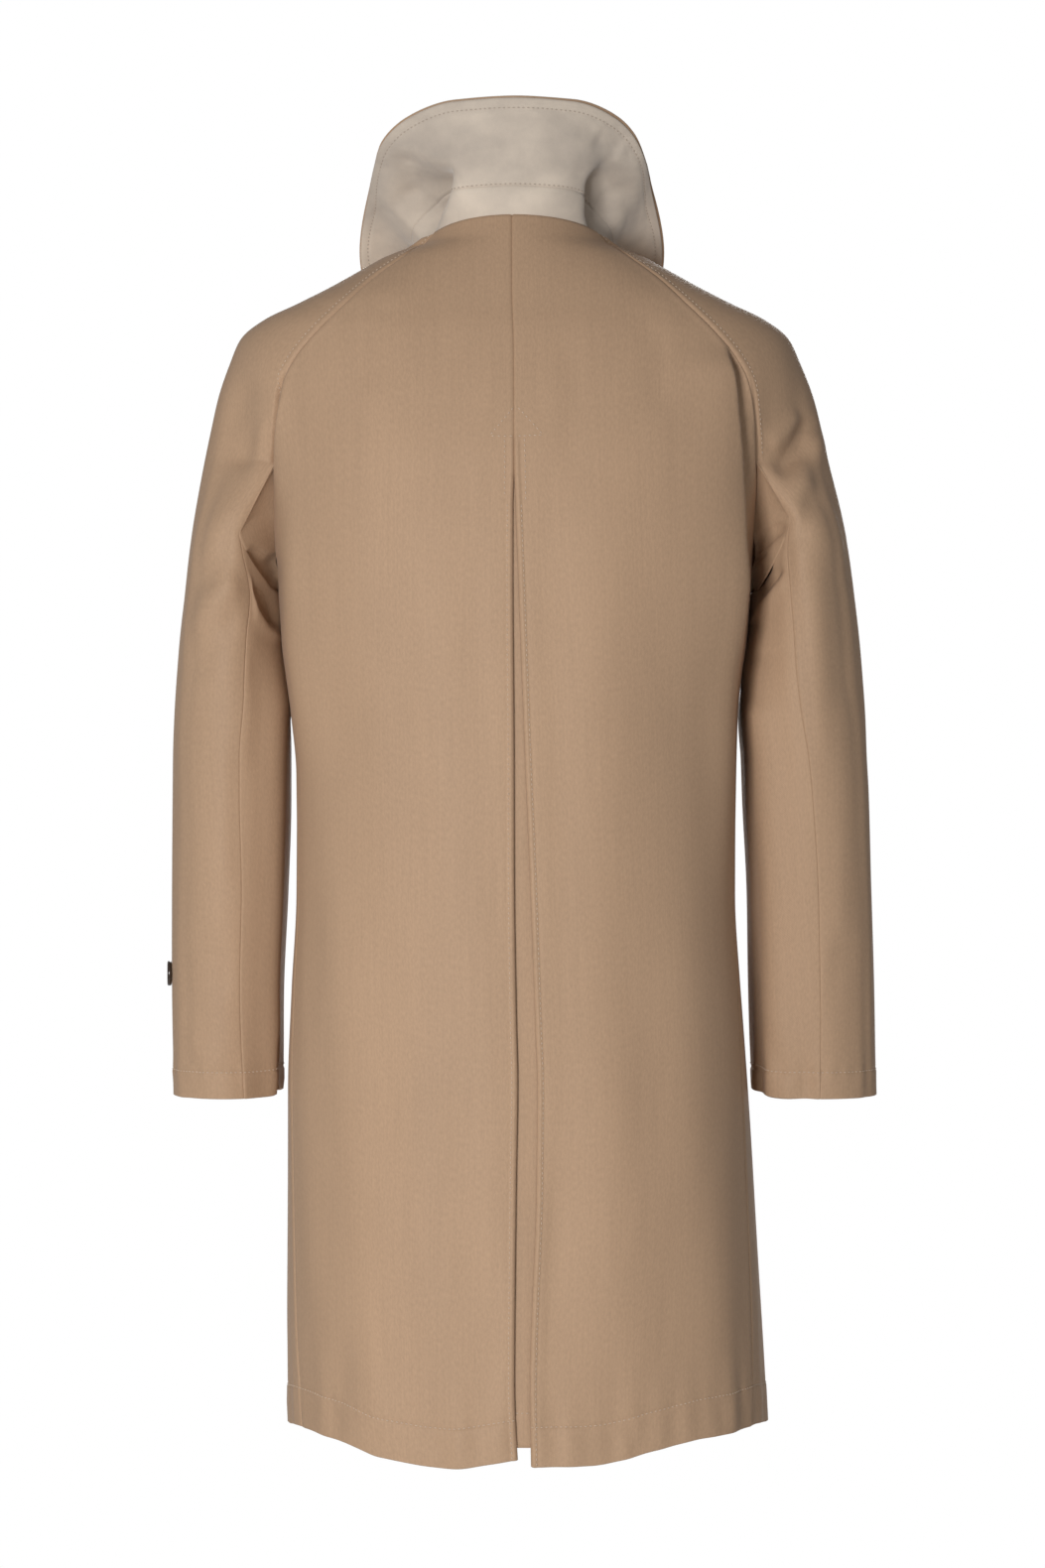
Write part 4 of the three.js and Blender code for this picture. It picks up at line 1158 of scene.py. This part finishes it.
BOTH_SLEEVES_FRONT = [
    ([(200, 232), (226, 262), (254, 300)], -3.3, 11, 12),
    ([(240, 150), (226, 190), (206, 216)], 2.7, 9, 9),
]
SLEEVE_FRONT_CREASES = {
    "left": [
        *BOTH_SLEEVES_FRONT,
        ([(262, 400), (238, 425), (205, 440)], -2.7, 12, 12),
        ([(264, 440), (240, 462), (210, 474)], -2, 11, 12),
        ([(262, 420), (238, 444), (206, 458)], 1.8, 8, 8),
    ],
    "right": [
        *mirrored(BOTH_SLEEVES_FRONT),
        ([(-268, 404), (-240, 428), (-206, 446)], -2.7, 12, 12),
        ([(-270, 446), (-242, 466), (-210, 480)], -2, 12, 11),
    ],
}
UNDER_CREASES = {
    "left": [
        ([(208, 286), (202, 304), (195, 316), (185, 323)], -8, 2.2, 10, 0.3, 0.05),
        ([(212, 278), (206, 307), (198, 323), (188, 331)], 2.4, 5, 2.2, 0.3, 0.05),
        ([(206, 330), (200, 390), (204, 450)], -1.2, 10, 10),
    ],
    "right": [
        ([(-211, 273), (-201, 287), (-191, 301)], -4.5, 12, 4, 0.3, 0.3),
        ([(-212, 277), (-201, 298), (-189, 318)], 2.4, 2.4, 6, 0.3, 0.05),
        ([(-192, 336), (-193, 362), (-190, 392)], -3.1, 13, 13),
        ([(-190, 630), (-207, 660), (-224, 690)], -1.6, 9, 9),
    ],
}
GUSSET_CREASES = {
    "left": [
        ([(213, 262), (198, 272), (182, 270)], -7.5, 9, 6, 0.3, 0.05),
        ([(200, 284), (192, 281), (184, 284)], -2.0, 3, 3, 0.2, 0.05),
    ],
    "right": [
        ([(-214, 240), (-202, 250), (-190, 262), (-184, 276)], -5.5, 6, 4, 0.25, 0.05),
        ([(-206, 246), (-197, 254), (-190, 268)], 1.8, 3, 3, 0.3, 0.1),
        ([(-199, 262), (-192, 268), (-186, 270)], -2.0, 2.5, 2.5, 0.2, 0.05),
    ],
}


# The sleeve's small forms. The pressed outer fold has its places as shares of the row from the ridge
# to the edge, and the surface is evened out round the gusset's corner. The tuck lies beside the raglan
# seam. The under sleeve swells on both sides, reaches the body at the top and leaves it between the
# two downs of its side, and has a dent over the left cuff.
OUTER_FOLD = ((0.9, 0.33, 0.055), (-0.7, 0.45, 0.06))
TUCK = {"left": 8.0, "right": 2.0, "place": 2.4, "width": 1.8}
UNDER_SWELL = {"height": 5.5, "places": (0.27, 0.73), "width": 0.11}
UNDER_TOUCH = {"height": 2.2, "width": 0.16, "left": (374, 400), "right": (350, 378)}
CUFF_DENT = {"left": 13, "right": 0, "place": 0.38, "width": 0.06}
THIN_SEAM = (0.35, 0.6)
NEAR_CORNER = {"down": 32, "rows": 9}


def sleeve_stations(side, first):
    """Stations from the first to the cuff's, at evenly spaced points of the sleeve's ridge."""
    def ridge(stations):
        return sleeve_ridge(side, stations)

    return even_steps(ridge, first, GUSSET_CORNER + ARM_STEPS, SLEEVE_GRID, CUFF_HEM)


def edge_distance(run):
    """How far each point lies from its row's nearer end."""
    return np.minimum(run, run[:, -1:] - run)


def top_sleeve_relief(side, points, station, share, down, run):
    """The top sleeve's small forms: creases, the pressed outer fold, the tuck, seams and hem."""
    edge = edge_distance(run)
    seed = SLEEVE_SEED + (side == "left")
    relief = creases(points, SLEEVE_CREASES[side]) + creases(points, SLEEVE_FRONT_CREASES[side], False)
    relief = relief * smooth(edge, 1, 16)
    uneven = wobble(run * 1.2, down, seed, *TOP_SLEEVE_WOBBLE)
    relief += uneven * smooth(edge, 3, 30) * smooth(down, 60, 200)
    fold_share = np.abs(share) + 0.02 * np.sin(down / 47 + 1.3) + 0.012 * np.sin(down / 21)
    pressed = smooth(down, 110, 200) * (0.35 + 0.65 * bump(down - 250, 130) + 0.5 * bump(down - 640, 70))
    relief += pressed * ridges(fold_share, OUTER_FOLD)
    tucked = smooth(station, 5.2, 7) * (1 - smooth(station, 8.7, RAGLAN_END))
    relief -= TUCK[side] * tucked * bump(edge - TUCK["place"], TUCK["width"])
    raglan = 1 - smooth(station, RAGLAN_END - 0.6, RAGLAN_END)
    relief += seam_dip(edge, THIN_SEAM[0] + 0.95 * raglan, THIN_SEAM[1] + 0.6 * raglan)
    relief += raglan * (DOUBLED_LAYER * (1 - smooth(edge, RAGLAN_STITCH, RAGLAN_STITCH + 2)))
    relief += raglan * stitch_dip(edge - RAGLAN_STITCH)
    relief += raglan * pucker(down, edge - RAGLAN_STITCH, seed + 7, *RAGLAN_GATHERS)
    return relief + hem_relief(CUFF_DOWN - down, CUFF_HEM, run, seed + 3)


def add_top_sleeve(side):
    stations = sleeve_stations(side, 0)
    half = np.linspace(0, 1, HALF_SLEEVE_SAMPLES)
    spread = np.concatenate([-half[:0:-1], half])
    dense = top_sleeve_surface(side, stations, spread)
    points, share = spaced_rows(dense, SLEEVE_GRID, np.broadcast_to(spread, dense.shape[:2]))
    down = NECK_SEAM_HEIGHT - points[..., 2]
    run = lengths_along(points)
    near_corner = bump(down - GUSSET_CORNER_DOWN[side], NEAR_CORNER["down"])
    points = softened(points, near_corner * smooth(edge_distance(run), 1, 24), NEAR_CORNER["rows"])
    relief = top_sleeve_relief(side, points, stations[:, None], share, down, run)
    name = f"top_sleeve_{side}"
    shown, normals = cloth_piece(name, points, CLOTH, inside_of("top_sleeve", side), CLOTH_FINISH, relief)
    on_raglan = stations < RAGLAN_END - 0.3
    for from_end, where in ((False, "front"), (True, "back")):
        stitch_row(f"{name}_{where}_raglan_stitches", shown, normals, RAGLAN_STITCH, from_end, on_raglan)
    stitch_hem(f"{name}_cuff_stitches", shown, normals, CUFF_HEM)


def under_sleeve_relief(side, points):
    """The under sleeve's small forms: creases, its swelling sides, the seam's dip and the hem."""
    down = NECK_SEAM_HEIGHT - points[..., 2]
    run = lengths_along(points)
    edge, share = edge_distance(run), run / run[:, -1:]
    seed = SLEEVE_SEED + (side == "left")
    relief = wobble(run * 1.2, down, seed + 9, *UNDER_SLEEVE_WOBBLE) * smooth(edge, 3, 24)
    relief += seam_dip(edge, *THIN_SEAM)
    relief += creases(points, UNDER_CREASES[side]) * smooth(edge, 2, 14)
    fullest = smooth(down, 330, 420) * (1 - smooth(down, 650, 720)) * 0.5 + 0.5
    swell = sum(bump(share - place, UNDER_SWELL["width"]) for place in UNDER_SWELL["places"])
    relief += UNDER_SWELL["height"] * fullest * swell * smooth(down, 300, 380)
    touch = UNDER_TOUCH["height"] * bump(share - 0.5, UNDER_TOUCH["width"])
    relief += touch * (1 - smooth(down, *UNDER_TOUCH[side])) * smooth(edge, 0, 12)
    dent = smooth(down, 640, 672) * bump(share - CUFF_DENT["place"], CUFF_DENT["width"])
    relief -= CUFF_DENT[side] * dent
    return relief + hem_relief(CUFF_DOWN - down, CUFF_HEM, run, seed + 5)


def add_under_sleeve(side):
    stations = sleeve_stations(side, GUSSET_CORNER)
    dense = under_sleeve_surface(side, stations, np.linspace(0, 1, UNDER_SLEEVE_SAMPLES))
    (points,) = spaced_rows(dense, SLEEVE_GRID)
    name = f"under_sleeve_{side}"
    relief = under_sleeve_relief(side, points)
    shown, normals = cloth_piece(name, points, CLOTH, inside_of("under_sleeve", side), CLOTH_FINISH, relief)
    stitch_hem(f"{name}_cuff_stitches", shown, normals, CUFF_HEM)


def gusset_half(side, front):
    """Half of the gusset: a bridge from the body panel's edge to the sleeve's, arched upwards."""
    row = np.linspace(0, GUSSET_STEPS + UNDER_STEPS, GUSSET_GRID["rows"])
    body = body_point(side, *edge_place(side, GUSSET_ROW + row, front))
    station = mix(RAGLAN_END, GUSSET_CORNER, np.minimum(row / GUSSET_STEPS, 1))
    upper = sleeve_edge(side, station, front)
    t = np.clip((row - GUSSET_STEPS) / UNDER_STEPS, 0, 1) / 2
    lower = under_sleeve_surface(side, np.array([float(GUSSET_CORNER)]), 1 - t if front else t)[0]
    sleeve = np.where((row <= GUSSET_STEPS)[:, None], upper, lower)
    chord = np.linalg.norm(body - sleeve, axis=-1)
    rise = GUSSET_ARCH * chord + 1.7 * smooth(row, 0, 2)
    u = np.linspace(0, 1, GUSSET_GRID["columns"])
    overlap = np.minimum(GUSSET_OVERLAP / np.maximum(chord, 0.1), 0.3)[:, None]
    share = mix(-overlap, 1 + overlap, u[None, :])
    points = mix(body[:, None], sleeve[:, None], share[..., None])
    points[..., 2] += 4 * rise[:, None] * u * (1 - u)
    return points


def add_gusset(side):
    """The gusset: its back half and its front half joined, with both ends drawn in a little."""
    back, front = gusset_half(side, False), gusset_half(side, True)
    points = np.concatenate([back, front[-2::-1]])
    points[0] = mix(points[0], points[1], 0.4)
    points[-1] = mix(points[-1], points[-2], 0.4)
    relief = creases(points, GUSSET_CREASES[side])
    cloth_piece(f"gusset_{side}", points, GUSSET_CLOTH, inside_of("gusset", side), CLOTH_FINISH, relief)


def neck_line(side):
    """The neck seam from the middle of the back over the sleeve's end to the middle of the front."""
    zero = np.zeros((1, 1))
    back = back_surface(side, zero, np.linspace(0, 1, 60)[None, :])[0][0]
    sleeve = top_sleeve_surface(side, np.zeros(1), np.linspace(-1, 1, 61))[0][::-1]
    front = front_surface(side, zero, np.linspace(0, 1, 120)[None, :])[0][0]
    front = front[sign_of(side) * front[:, 0] > NECK_LINE_ENDS["front"]]
    back = back[sign_of(side) * back[:, 0] > NECK_LINE_ENDS["back"]]
    return np.concatenate([back[:1] * (0, 1, 1), back, sleeve[1:], front[1:]])


def rounded_curve(parts, t):
    """A smooth curve through four points, its tangents weighted by the spans' square roots."""
    first = 2 * parts[0] - parts[1]
    last = 2 * parts[-1] - parts[-2]
    points = [first, *parts, last]
    segment = np.minimum((t * 3).astype(int), 2)
    result = np.zeros((len(parts[0]), len(t), 3))
    for k in range(3):
        p0, p1, p2, p3 = points[k:k + 4]
        spans = (p1 - p0, p2 - p1, p3 - p2)
        d0, d1, d2 = (np.linalg.norm(span, axis=-1, keepdims=True) ** 0.5 for span in spans)
        leave = ((p1 - p0) / d0 - (p2 - p0) / (d0 + d1) + (p2 - p1) / d1) * d1
        arrive = ((p2 - p1) / d1 - (p3 - p1) / (d1 + d2) + (p3 - p2) / d2) * d1
        here = segment == k
        local = (t[here] * 3 - k)[None, :, None]
        result[:, here] = arc_point(p1[:, None], leave[:, None], p2[:, None], arrive[:, None], local)
    return result


def collar_half(side, columns, t):
    """Half of the collar's outer face: rows run up from the neck seam, columns round the neck."""
    neck = neck_line(side)
    run = run_along(neck)
    share = np.linspace(0, 1, columns)
    foot = at_runs(share * run[-1], run, neck)
    inward = unit(NECK_MIDDLE - foot * (1, 1, 0))
    foot = foot + inward * COLLAR_FOOT["inset"] - np.array([0, 0, COLLAR_FOOT["fall"]])
    width = 1 if side == "left" else COLLAR["right"](share)
    parts = [foot]
    for part in ("seam", "leaf", "edge"):
        x, y, z = (COLLAR[f"{part} {axis}"](share) for axis in "xyz")
        parts.append(np.stack([sign_of(side) * width * x, y, z], axis=-1))
    return rounded_curve(parts, t)


STAND_SEAM_MIDDLE = -4
STAND_SEAM_HALF = (52, 60)


def collar_relief(whole, up, stand_run, edge):
    """The collar's small forms: the stand's seam, unevenness, the stitches' dips and gathers."""
    around = turned(lengths_along(turned(whole)))
    side_edge = np.minimum(around, around[-1:] - around)
    shown_seam = 1 - smooth(np.abs(whole[..., 0] - STAND_SEAM_MIDDLE), *STAND_SEAM_HALF)
    uneven = wobble(around, up, COLLAR_SEED, *COLLAR_WOBBLE) * smooth(edge, 2, 15)
    gathers = pucker(around, edge - COLLAR_STITCH, COLLAR_SEED + 1, *COLLAR_GATHERS)
    relief = seam_dip(up - stand_run, 0.8, 1.0) * shown_seam + uneven
    relief += stitch_dip(edge - COLLAR_STITCH) + gathers
    return relief + stitch_dip(side_edge - COLLAR_STITCH) * (up > stand_run)


def at_stand_back(line):
    """Which points of the stand's stitch line lie behind the neck, between the collar's folds."""
    first, last = STAND_STITCH_ENDS
    return (line[:, 0] < last) & (line[:, 0] > first) & (line[:, 1] > 0)


def add_collar():
    """The stand and the leaf of suede, and behind both the upper collar with its rolled edge."""
    share = COLLAR_GRID["stand_share"]
    stand_t = np.linspace(0, share, COLLAR_GRID["stand_rows"])
    t = np.unique(np.concatenate([stand_t, np.linspace(share, 1, COLLAR_GRID["leaf_rows"])]))
    left, right = (collar_half(side, COLLAR_GRID["columns"], t) for side in ("left", "right"))
    whole = np.concatenate([left[::-1], right[1:]])
    seam = COLLAR_GRID["stand_rows"] - 1
    inside = inside_of("collar")
    up = lengths_along(whole)
    edge = up[:, -1:] - up
    relief = collar_relief(whole, up, up[:, seam:seam + 1], edge)
    base = whole + normals_of(whole, inside) * collar_creases(whole)[..., None]
    cloth_piece("collar_stand", base[:, :seam + 1], SUEDE, inside, SUEDE_FINISH, relief[:, :seam + 1])
    shown, facing = cloth_piece(
        "under_collar", base[:, seam:], SUEDE, inside, SUEDE_FINISH, relief[:, seam:])
    rolled = base.copy()
    more = 1 + 0.6 * smooth(-base[:, -1, :1], 20, 80)
    rolled[:, -1] += unit(base[:, -1] - base[:, -2]) * EDGE_ROLL * more
    cloth_piece("upper_collar", rolled, UPPER_COLLAR, inside, CLOTH_FINISH,
                0.5 * relief * smooth(edge, 0, 2.5), depth=SUEDE + COLLAR_GAP)
    stitch_row("collar_edge_stitches", shown, facing, COLLAR_STITCH, True, slice(4, -4), SUEDE_THREAD)
    stitch_row("collar_stand_stitches", shown, facing, STAND_STITCH, False, at_stand_back, SUEDE_THREAD)


# The collar's creases behind the neck and in front of it, like the coat's other creases.
COLLAR_CREASES = [
    ([(50, -40), (57, -27), (63, -14), (70, 0), (80, 18)], -20, 34, 5, 0.4, 0.3),
    ([(50, -42), (58, -27), (64, -14), (71, 0), (80, 18)], -11, 9, 2.8, 0.3, 0.3),
    ([(86, -56), (90, -34), (86, -10)], -3.5, 10, 10),
    ([(104, -22), (89, -5), (78, 7)], -2.4, 7, 6),
    ([(98, -46), (106, -26), (110, 4)], 2.0, 14, 12),
    ([(-78, -50), (-68, -24), (-67, -4.6), (-72, 12), (-79, 25)], -14, 8, 30, 0.3, 0.35),
    ([(-66, -40), (-64, -24), (-66, -4.6), (-71, 10)], -6, 5, 3.5, 0.3, 0.35),
    ([(-62, -64), (-74, -58), (-84, -52)], -2.4, 9, 9),
    ([(-92, -60), (-106, -20), (-114, 14)], 1.8, 12, 12),
    ([(33, -39.5), (0, -36.5), (-43, -35)], -0.35, 1.2, 1.2, 0.1, 0.1),
    ([(30, -72), (0, -70), (-36, -73)], 0.7, 12, 12),
    ([(20, -8), (-10, -6), (-40, -8)], 0.5, 6, 8),
]
COLLAR_FRONT_CREASES = [([(70, -6), (84, 20), (92, 44)], -1.6, 9, 9)]
COLLAR_FRONT_CREASES += mirrored(COLLAR_FRONT_CREASES)


def collar_creases(whole):
    """The collar's folds behind the neck, with a plainer copy of the two side ones in front."""
    return creases(whole, COLLAR_CREASES) + creases(whole, COLLAR_FRONT_CREASES, False)


# The stitched triangle above the vent and the lines that lead down from it, as (across, down).
TRIANGLE_LINES = {
    "left": [
        [(1.2, 157), (10, 167.5), (19.8, 179.4)],
        [(19.8, 179.8), (1.2, 180.2)],
        [(8.6, 182), (8.4, 200), (8.6, 226)],
    ],
    "right": [
        [(-1.2, 157), (-9, 165.5), (-20.6, 178.6)],
        [(-20.6, 179), (-1.2, 180)],
        [(-6.6, 181), (-7.2, 200), (-7.6, 230)],
    ],
}


def add_triangle(side, shown, normals):
    """Stitch lines set on the nearest points of the back panel's own surface."""
    places = shown.reshape(-1, 3)
    facing = normals.reshape(-1, 3)
    for i, corners in enumerate(TRIANGLE_LINES[side]):
        corners = np.array(corners, float)
        run = run_along(corners)
        across, down = at_runs(np.linspace(0, run[-1], int(run[-1] / TRIANGLE_STEP) + 2), run, corners).T
        line = body_point(side, down, turn_at(side, down, np.abs(across)))
        apart = (places[None, :, 0] - line[:, None, 0]) ** 2 + (places[None, :, 2] - line[:, None, 2]) ** 2
        nearest = apart.argmin(axis=1)
        normal = facing[nearest]
        line = line + normal * np.sum((places[nearest] - line) * normal, axis=1, keepdims=True)
        note_stitches(f"back_{side}_triangle_stitches_{i + 1}", line, normal)


# Stitches.

# A stitch's rings: each one's place along it, its share of the radius and its height over the cloth.
STITCH_RINGS = np.array([
    (-0.5, 0.25, -0.3),
    (-0.36, 0.8, 0.12),
    (0.0, 1.0, 0.26),
    (0.36, 0.8, 0.12),
    (0.5, 0.25, -0.3),
])
STITCH_SIDES = 6


def stitch_mesh(name, line, normals):
    """Stitches along a line: each is a six-sided spindle that sinks into the cloth at its ends."""
    run = run_along(line)
    count = max(int(run[-1] / STITCH["pitch"]), 1)
    centre = (np.arange(count) + 0.5) * run[-1] / count
    place, share, lift = STITCH_RINGS.T
    thick = share * STITCH["radius"]
    where = centre[:, None] + place[None, :] * STITCH["length"]
    middle = at_runs(where, run, line)
    up = unit(at_runs(where, run, normals))
    ahead = unit(np.gradient(middle, axis=1))
    beside = unit(np.cross(ahead, up))
    angle = np.linspace(0, 2 * math.pi, STITCH_SIDES, endpoint=False)
    around = beside[:, :, None] * np.cos(angle)[:, None] + up[:, :, None] * np.sin(angle)[:, None]
    points = middle[:, :, None] + up[:, :, None] * lift[None, :, None, None]
    points = points + around * thick[None, :, None, None]
    ids = np.arange(points[..., 0].size).reshape(points.shape[:3])
    after = np.roll(ids, -1, axis=2)
    sides = np.stack([ids[:, :-1], after[:, :-1], after[:, 1:], ids[:, 1:]], axis=-1).reshape(-1, 4)
    first, last = ids[:, 0], ids[:, -1]
    caps = [first[:, (3, 2, 1, 0)], first[:, (5, 4, 3, 0)], last[:, (0, 1, 2, 3)], last[:, (0, 3, 4, 5)]]
    return mesh_from(name, points.reshape(-1, 3), np.concatenate([sides, *caps]))


def add_stitches():
    for name, line, normals, finish in STITCH_LINES:
        fitted(name, stitch_mesh(name, line, normals), finish)


# Buttons.

BUTTON = {
    "radius": 10.0, "lift": 0.6, "dish": 2.7, "rim": 7.6, "rim_half": 2.45, "rim_height": 1.0,
    "base": 7.0, "rounding": 3.05, "under": 1.1, "hole": 1.1, "hole_place": 2.6, "hole_depth": 2.2,
}
FRONT_BUTTONS = {"count": 5, "first": 112, "spacing": 118}
SLEEVE_BUTTONS = {"down": 600, "left": 6, "right": -48}


def button_axes(normal):
    """The two directions across a button whose face looks along the normal."""
    side = unit(np.cross((0, 0, 1.0), normal))
    return side, np.cross(normal, side)


def round_over(distance, width):
    """A quarter circle of height 1 that falls to 0 at the width."""
    return np.sqrt(np.clip(1 - (distance / width) ** 2, 0, 1))


def button_mesh(name, centre, normal):
    """A turned button: height is a rolled rim, a shallow dish and four sunk holes over its disc."""
    rings, spokes = 26, 48
    r = np.linspace(0, 1, rings)[:, None] * BUTTON["radius"]
    angle = np.linspace(0, 2 * math.pi, spokes, endpoint=False)[None, :]
    x, y = r * np.cos(angle), r * np.sin(angle)
    rim = BUTTON["rim_height"] * smooth(r, 6.0, 8.0) * round_over(r - BUTTON["rim"], BUTTON["rim_half"])
    top = BUTTON["dish"] + rim + 0 * angle
    for turn in (45, 135, 225, 315):
        hole = (BUTTON["hole_place"] * f(math.radians(turn)) for f in (math.cos, math.sin))
        away = np.hypot(*(here - there for here, there in zip((x, y), hole)))
        top = top - BUTTON["hole_depth"] * (1 - smooth(away, BUTTON["hole"] * 0.7, BUTTON["hole"] * 1.25))
    edge = round_over(np.maximum(r - BUTTON["base"], 0), BUTTON["rounding"])
    bottom = BUTTON["under"] - edge * BUTTON["under"] + 0 * angle
    top = np.maximum(top, bottom + 0.2)
    local = np.concatenate([np.stack([x, y, top], -1), np.stack([x, y, bottom], -1)[::-1]])
    side, up = button_axes(normal)
    points = local[..., :1] * side + local[..., 1:2] * up + local[..., 2:] * normal
    points = points + np.array(centre) + normal * BUTTON["lift"]
    return mesh_from(name, points.reshape(-1, 3), ring_faces(2 * rings, spokes))


def merged(data, distance=0.00002):
    """The mesh with its doubles merged and its faces turned out."""
    mesh = bmesh.new()
    mesh.from_mesh(data)
    bmesh.ops.remove_doubles(mesh, verts=mesh.verts, dist=distance)
    bmesh.ops.recalc_face_normals(mesh, faces=mesh.faces)
    mesh.to_mesh(data)
    mesh.free()
    return data


def add_button(node, centre, normal):
    """A button and its two threads, each from one hole to the next over the dish."""
    name = f"{node}_disc"
    fitted(name, merged(button_mesh(name, centre, normal)), BUTTON_FINISH, node)
    side, up = button_axes(normal)
    reach = BUTTON["hole_place"] * math.sqrt(0.5)
    for i, row in enumerate((-reach, reach)):
        middle = centre + normal * (BUTTON["lift"] + BUTTON["dish"]) + side * row
        line = middle + up * np.array([-reach, 0, reach])[:, None]
        note_stitches(f"{node}_thread_{i + 1}", line, np.broadcast_to(normal, line.shape), DARK_THREAD)


BUTTONHOLE = {"start": 3.0, "end": 24.0, "half": 1.1, "lift": 0.6}


def add_buttonhole(i, down):
    """A buttonhole's two lines of close stitches, on the left front's edge towards the opening."""
    across = np.linspace(BUTTONHOLE["start"], -BUTTONHOLE["end"] + 2 * BUTTONHOLE["start"], 40)
    for name, shift in (("upper", -BUTTONHOLE["half"]), ("lower", BUTTONHOLE["half"])):
        downs = np.full(40, down + shift)
        turn = turn_at("left", downs, across, True)
        normals = body_normal("left", downs, turn)
        line = body_point("left", downs, turn) + BUTTONHOLE["lift"] * normals
        note_stitches(f"buttonhole_{i + 1}_{name}_stitches", line, normals)


def add_buttons():
    for i in range(FRONT_BUTTONS["count"]):
        down = np.asarray(float(FRONT_BUTTONS["first"] + i * FRONT_BUTTONS["spacing"]))
        place = ("left", down, 180.0)
        add_button(f"front_button_{i + 1}", body_point(*place), body_normal(*place))
        add_buttonhole(i, float(down))
    for side in ("left", "right"):
        down, turn = np.asarray(float(SLEEVE_BUTTONS["down"])), SLEEVE_BUTTONS[side]
        point = ring_point(side, down, turn)
        along = ring_point(side, down, turn + 1) - point
        normal = unit(np.cross(along, (0, 0, float(sign_of(side)))))
        add_button(f"sleeve_button_{side}", point, normal)


# The floor and the light. A lamp is its name, place, target, size, power and colour.

FLOOR_HEIGHT = -1700
FLOOR_SHADE = (0.9, 0.9, 0.9)
LIGHTS = [
    ("key", (780, 2500, -420), (0, 0, -520), 700, 45.5, (1.0, 1.0, 1.0)),
    ("left_edge", (2500, -500, 200), (200, 0, -400), 700, 1.7, (0.94, 0.97, 1.0)),
    ("front", (-300, -2700, 500), (0, 0, -400), 1500, 48, (1.0, 0.99, 0.98)),
]
WORLD = {"around": 0.27, "backdrop": 1.0, "from": -0.955, "to": -0.90}


def floor_finish():
    """A matt pale floor with hardly any grain."""
    finish = Finish("pale_floor")
    grain = finish.noise(3, 2, (1, 1, 1), 0.5, finish.place)
    tone = finish.blend(grain, colour(*FLOOR_SHADE, 0.995), colour(*FLOOR_SHADE))
    return finish.finished({"Base Color": tone}, {"Roughness": 0.9, "Specular IOR Level": 0.1})


def add_floor():
    """A pale disc under the coat, its radius and height given ring by ring."""
    spokes = 96
    angle = np.linspace(0, 2 * math.pi, spokes, endpoint=False)[None, :]
    r = np.array([1, 600, 1200, 1440, 1450])[:, None]
    z = np.array([0, 0, 0, -2, -14])[:, None] + FLOOR_HEIGHT + 0 * angle
    points = np.stack([r * np.cos(angle), r * np.sin(angle), z], axis=-1)
    floor = link("floor", mesh_from("floor", points.reshape(-1, 3), ring_faces(len(points), spokes)))
    floor.data.materials.append(floor_finish())


def add_lights():
    for name, place, target, size, power, tint in LIGHTS:
        data = bpy.data.lights.new(name, "AREA")
        data.size = size * MM
        data.energy = power
        data.color = tint
        place = Vector(place) * MM
        looking(name, data, place, Vector(target) * MM - place)


def add_world():
    """A plain grey room with a white backdrop beyond the coat's front."""
    world = bpy.data.worlds.new("studio")
    world.use_nodes = True
    tree = world.node_tree
    background = tree.nodes["Background"]
    place = tree.nodes.new("ShaderNodeTexCoord")
    split = tree.nodes.new("ShaderNodeSeparateXYZ")
    ramp = tree.nodes.new("ShaderNodeMapRange")
    ramp.interpolation_type = "SMOOTHSTEP"
    ends = {"From Min": "from", "From Max": "to", "To Min": "backdrop", "To Max": "around"}
    for socket, value in ends.items():
        ramp.inputs[socket].default_value = WORLD[value]
    tree.links.new(place.outputs["Generated"], split.inputs[0])
    tree.links.new(split.outputs["Y"], ramp.inputs["Value"])
    tree.links.new(ramp.outputs["Result"], background.inputs["Strength"])
    background.inputs["Color"].default_value = (1.0, 1.0, 1.0, 1.0)
    bpy.context.scene.world = world


bpy.context.scene.view_settings.view_transform = "Standard"
add_camera()
for coat_side in ("left", "right"):
    add_body_panel(coat_side, False)
    add_body_panel(coat_side, True)
    add_top_sleeve(coat_side)
    add_under_sleeve(coat_side)
    add_gusset(coat_side)
add_underlay()
add_collar()
add_buttons()
add_stitches()
add_floor()
add_lights()
add_world()
